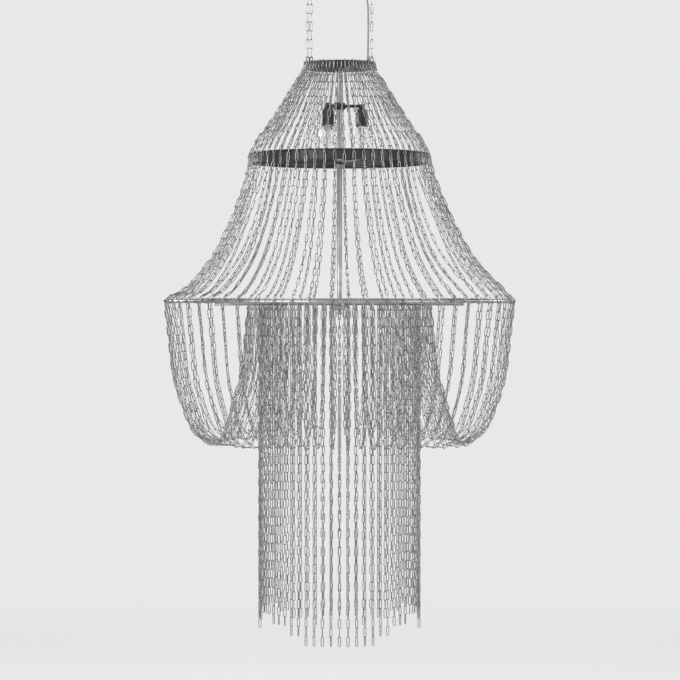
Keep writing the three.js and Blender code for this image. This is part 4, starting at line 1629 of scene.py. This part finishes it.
@dataclass
class Studio:
    """Camera, soft lamps, a pale surround and a floor that fades out, in metres."""

    camera_place: Place = (0.00125, -6.0, -0.803)
    look_down: float = 1.026
    lens: float = 127.06
    sensor: float = 36.0
    clip_end: float = 100.0
    floor_level: float = -2.4
    floor_radius: float = 7.0
    fade_start: float = 3.5
    pale: Colour = (0.80, 0.805, 0.815)
    mirrored: tuple[Colour, Colour] = ((0.20, 0.20, 0.21), (0.95, 0.95, 0.96))
    floor_colour: Colour = (0.30, 0.30, 0.30)
    floor_glow: float = 0.70
    fill_strength: float = 0.5
    aim: Place = (0, 0, -0.9)
    lamps: tuple[SoftLamp, ...] = (SoftLamp("key", (-2.8, -3.4, 1.0), 3.4, 120.0),
                                   SoftLamp("fill", (3.4, -2.8, -0.4), 3.0, 45.0),
                                   SoftLamp("rim_left", (-2.6, 3.0, 0.6), 2.4, 60.0),
                                   SoftLamp("rim_right", (2.8, 2.6, 0.8), 2.4, 60.0))

    def build(self) -> None:
        """Builds the studio."""
        self._camera()
        self._world()
        self._floor()
        for lamp in self.lamps:
            lamp.hang(self.aim)
        bpy.context.scene.view_settings.view_transform = "Standard"

    def _camera(self) -> None:
        """Sets the camera where the photograph's was."""
        camera = bpy.data.cameras.new("camera")
        camera.lens = self.lens
        camera.sensor_width = self.sensor
        camera.clip_end = self.clip_end
        holder = in_scene("camera", camera)
        holder.location = self.camera_place
        holder.rotation_euler = (math.radians(90 - self.look_down), 0, 0)
        bpy.context.scene.camera = holder

    def _world(self) -> None:
        """Makes a surround that is pale to the eye, gentler as a light, and graded in metal."""
        world = bpy.data.worlds.new("studio")
        bpy.context.scene.world = world
        world.use_nodes = True
        tree = world.node_tree
        tree.nodes.clear()
        pale = (*self.pale, 1.0)
        seen = add_node(tree, "Background", {"Color": pale})
        light = add_node(tree, "Background", {"Color": pale, "Strength": self.fill_strength})
        place = add_node(tree, "TexCoord", {})
        split = add_node(tree, "SeparateXYZ", {"Vector": place.outputs["Generated"]})
        height = add_node(tree, "MapRange", {"Value": split.outputs["Z"], "From Min": -1.0})
        ramp = add_node(tree, "ValToRGB", {"Fac": height.outputs["Result"]})
        for element, colour in zip(ramp.color_ramp.elements, self.mirrored):
            element.color = (*colour, 1.0)
        mirrored = add_node(tree, "Background", {"Color": ramp.outputs["Color"]})
        indirect = add_node(tree, "MixShader", {"Fac": ray_mask(tree, "Glossy"),
                                                "Shader": light.outputs["Background"],
                                                "Shader_001": mirrored.outputs["Background"]})
        whole = add_node(tree, "MixShader", {"Fac": ray_mask(tree, "Camera", "Transmission"),
                                             "Shader": indirect.outputs["Shader"],
                                             "Shader_001": seen.outputs["Background"]})
        add_node(tree, "OutputWorld", {"Surface": whole.outputs["Shader"]})

    def _floor(self) -> None:
        """Lays a round pale floor whose edge fades into the surround."""
        bm = bmesh.new()
        bmesh.ops.create_circle(bm, cap_ends=True, segments=96, radius=self.floor_radius)
        bmesh.ops.translate(bm, vec=(0, 0, self.floor_level), verts=bm.verts)
        mesh = as_mesh("floor", bm)
        material = bpy.data.materials.new("Floor")
        material.use_nodes = True
        tree = material.node_tree
        glow = add_node(tree, "Math", {"Value": ray_mask(tree, "Camera", "Transmission", "Glossy"),
                                       "Value_001": self.floor_glow}, operation="MULTIPLY")
        place = add_node(tree, "TexCoord", {})
        flat = add_node(tree, "VectorMath", {"Vector": place.outputs["Object"],
                                             "Vector_001": (1, 1, 0)}, operation="MULTIPLY")
        away = add_node(tree, "VectorMath", {"Vector": flat.outputs["Vector"]},
                        operation="LENGTH")
        fade = add_node(tree, "MapRange", {"Value": away.outputs["Value"],
                                           "From Min": self.fade_start,
                                           "From Max": self.floor_radius,
                                           "To Min": 1.0, "To Max": 0.0},
                        interpolation_type="SMOOTHSTEP")
        feed(tree.nodes["Principled BSDF"],
             {"Base Color": (*self.floor_colour, 1.0), "Roughness": 0.9,
              "Emission Color": (*self.pale, 1.0), "Emission Strength": glow.outputs["Value"],
              "Alpha": fade.outputs["Result"]})
        mesh.materials.append(material)
        in_scene("floor", mesh)


def main() -> None:
    """Builds the studio, the cable and every sub-assembly."""
    logging.basicConfig(level=logging.INFO, format="%(message)s")
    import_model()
    Studio().build()
    LampCable().build()
    levels = Levels().read()
    hoops = Hoops(levels)
    rings = Rings(levels)
    for part in (CeilingFitting(levels), Suspension(levels), hoops, rings,
                 LampCluster(levels, hoops), Curtains(levels, hoops, rings), Drops(levels)):
        part.build()


if __name__ == "__main__":
    main()
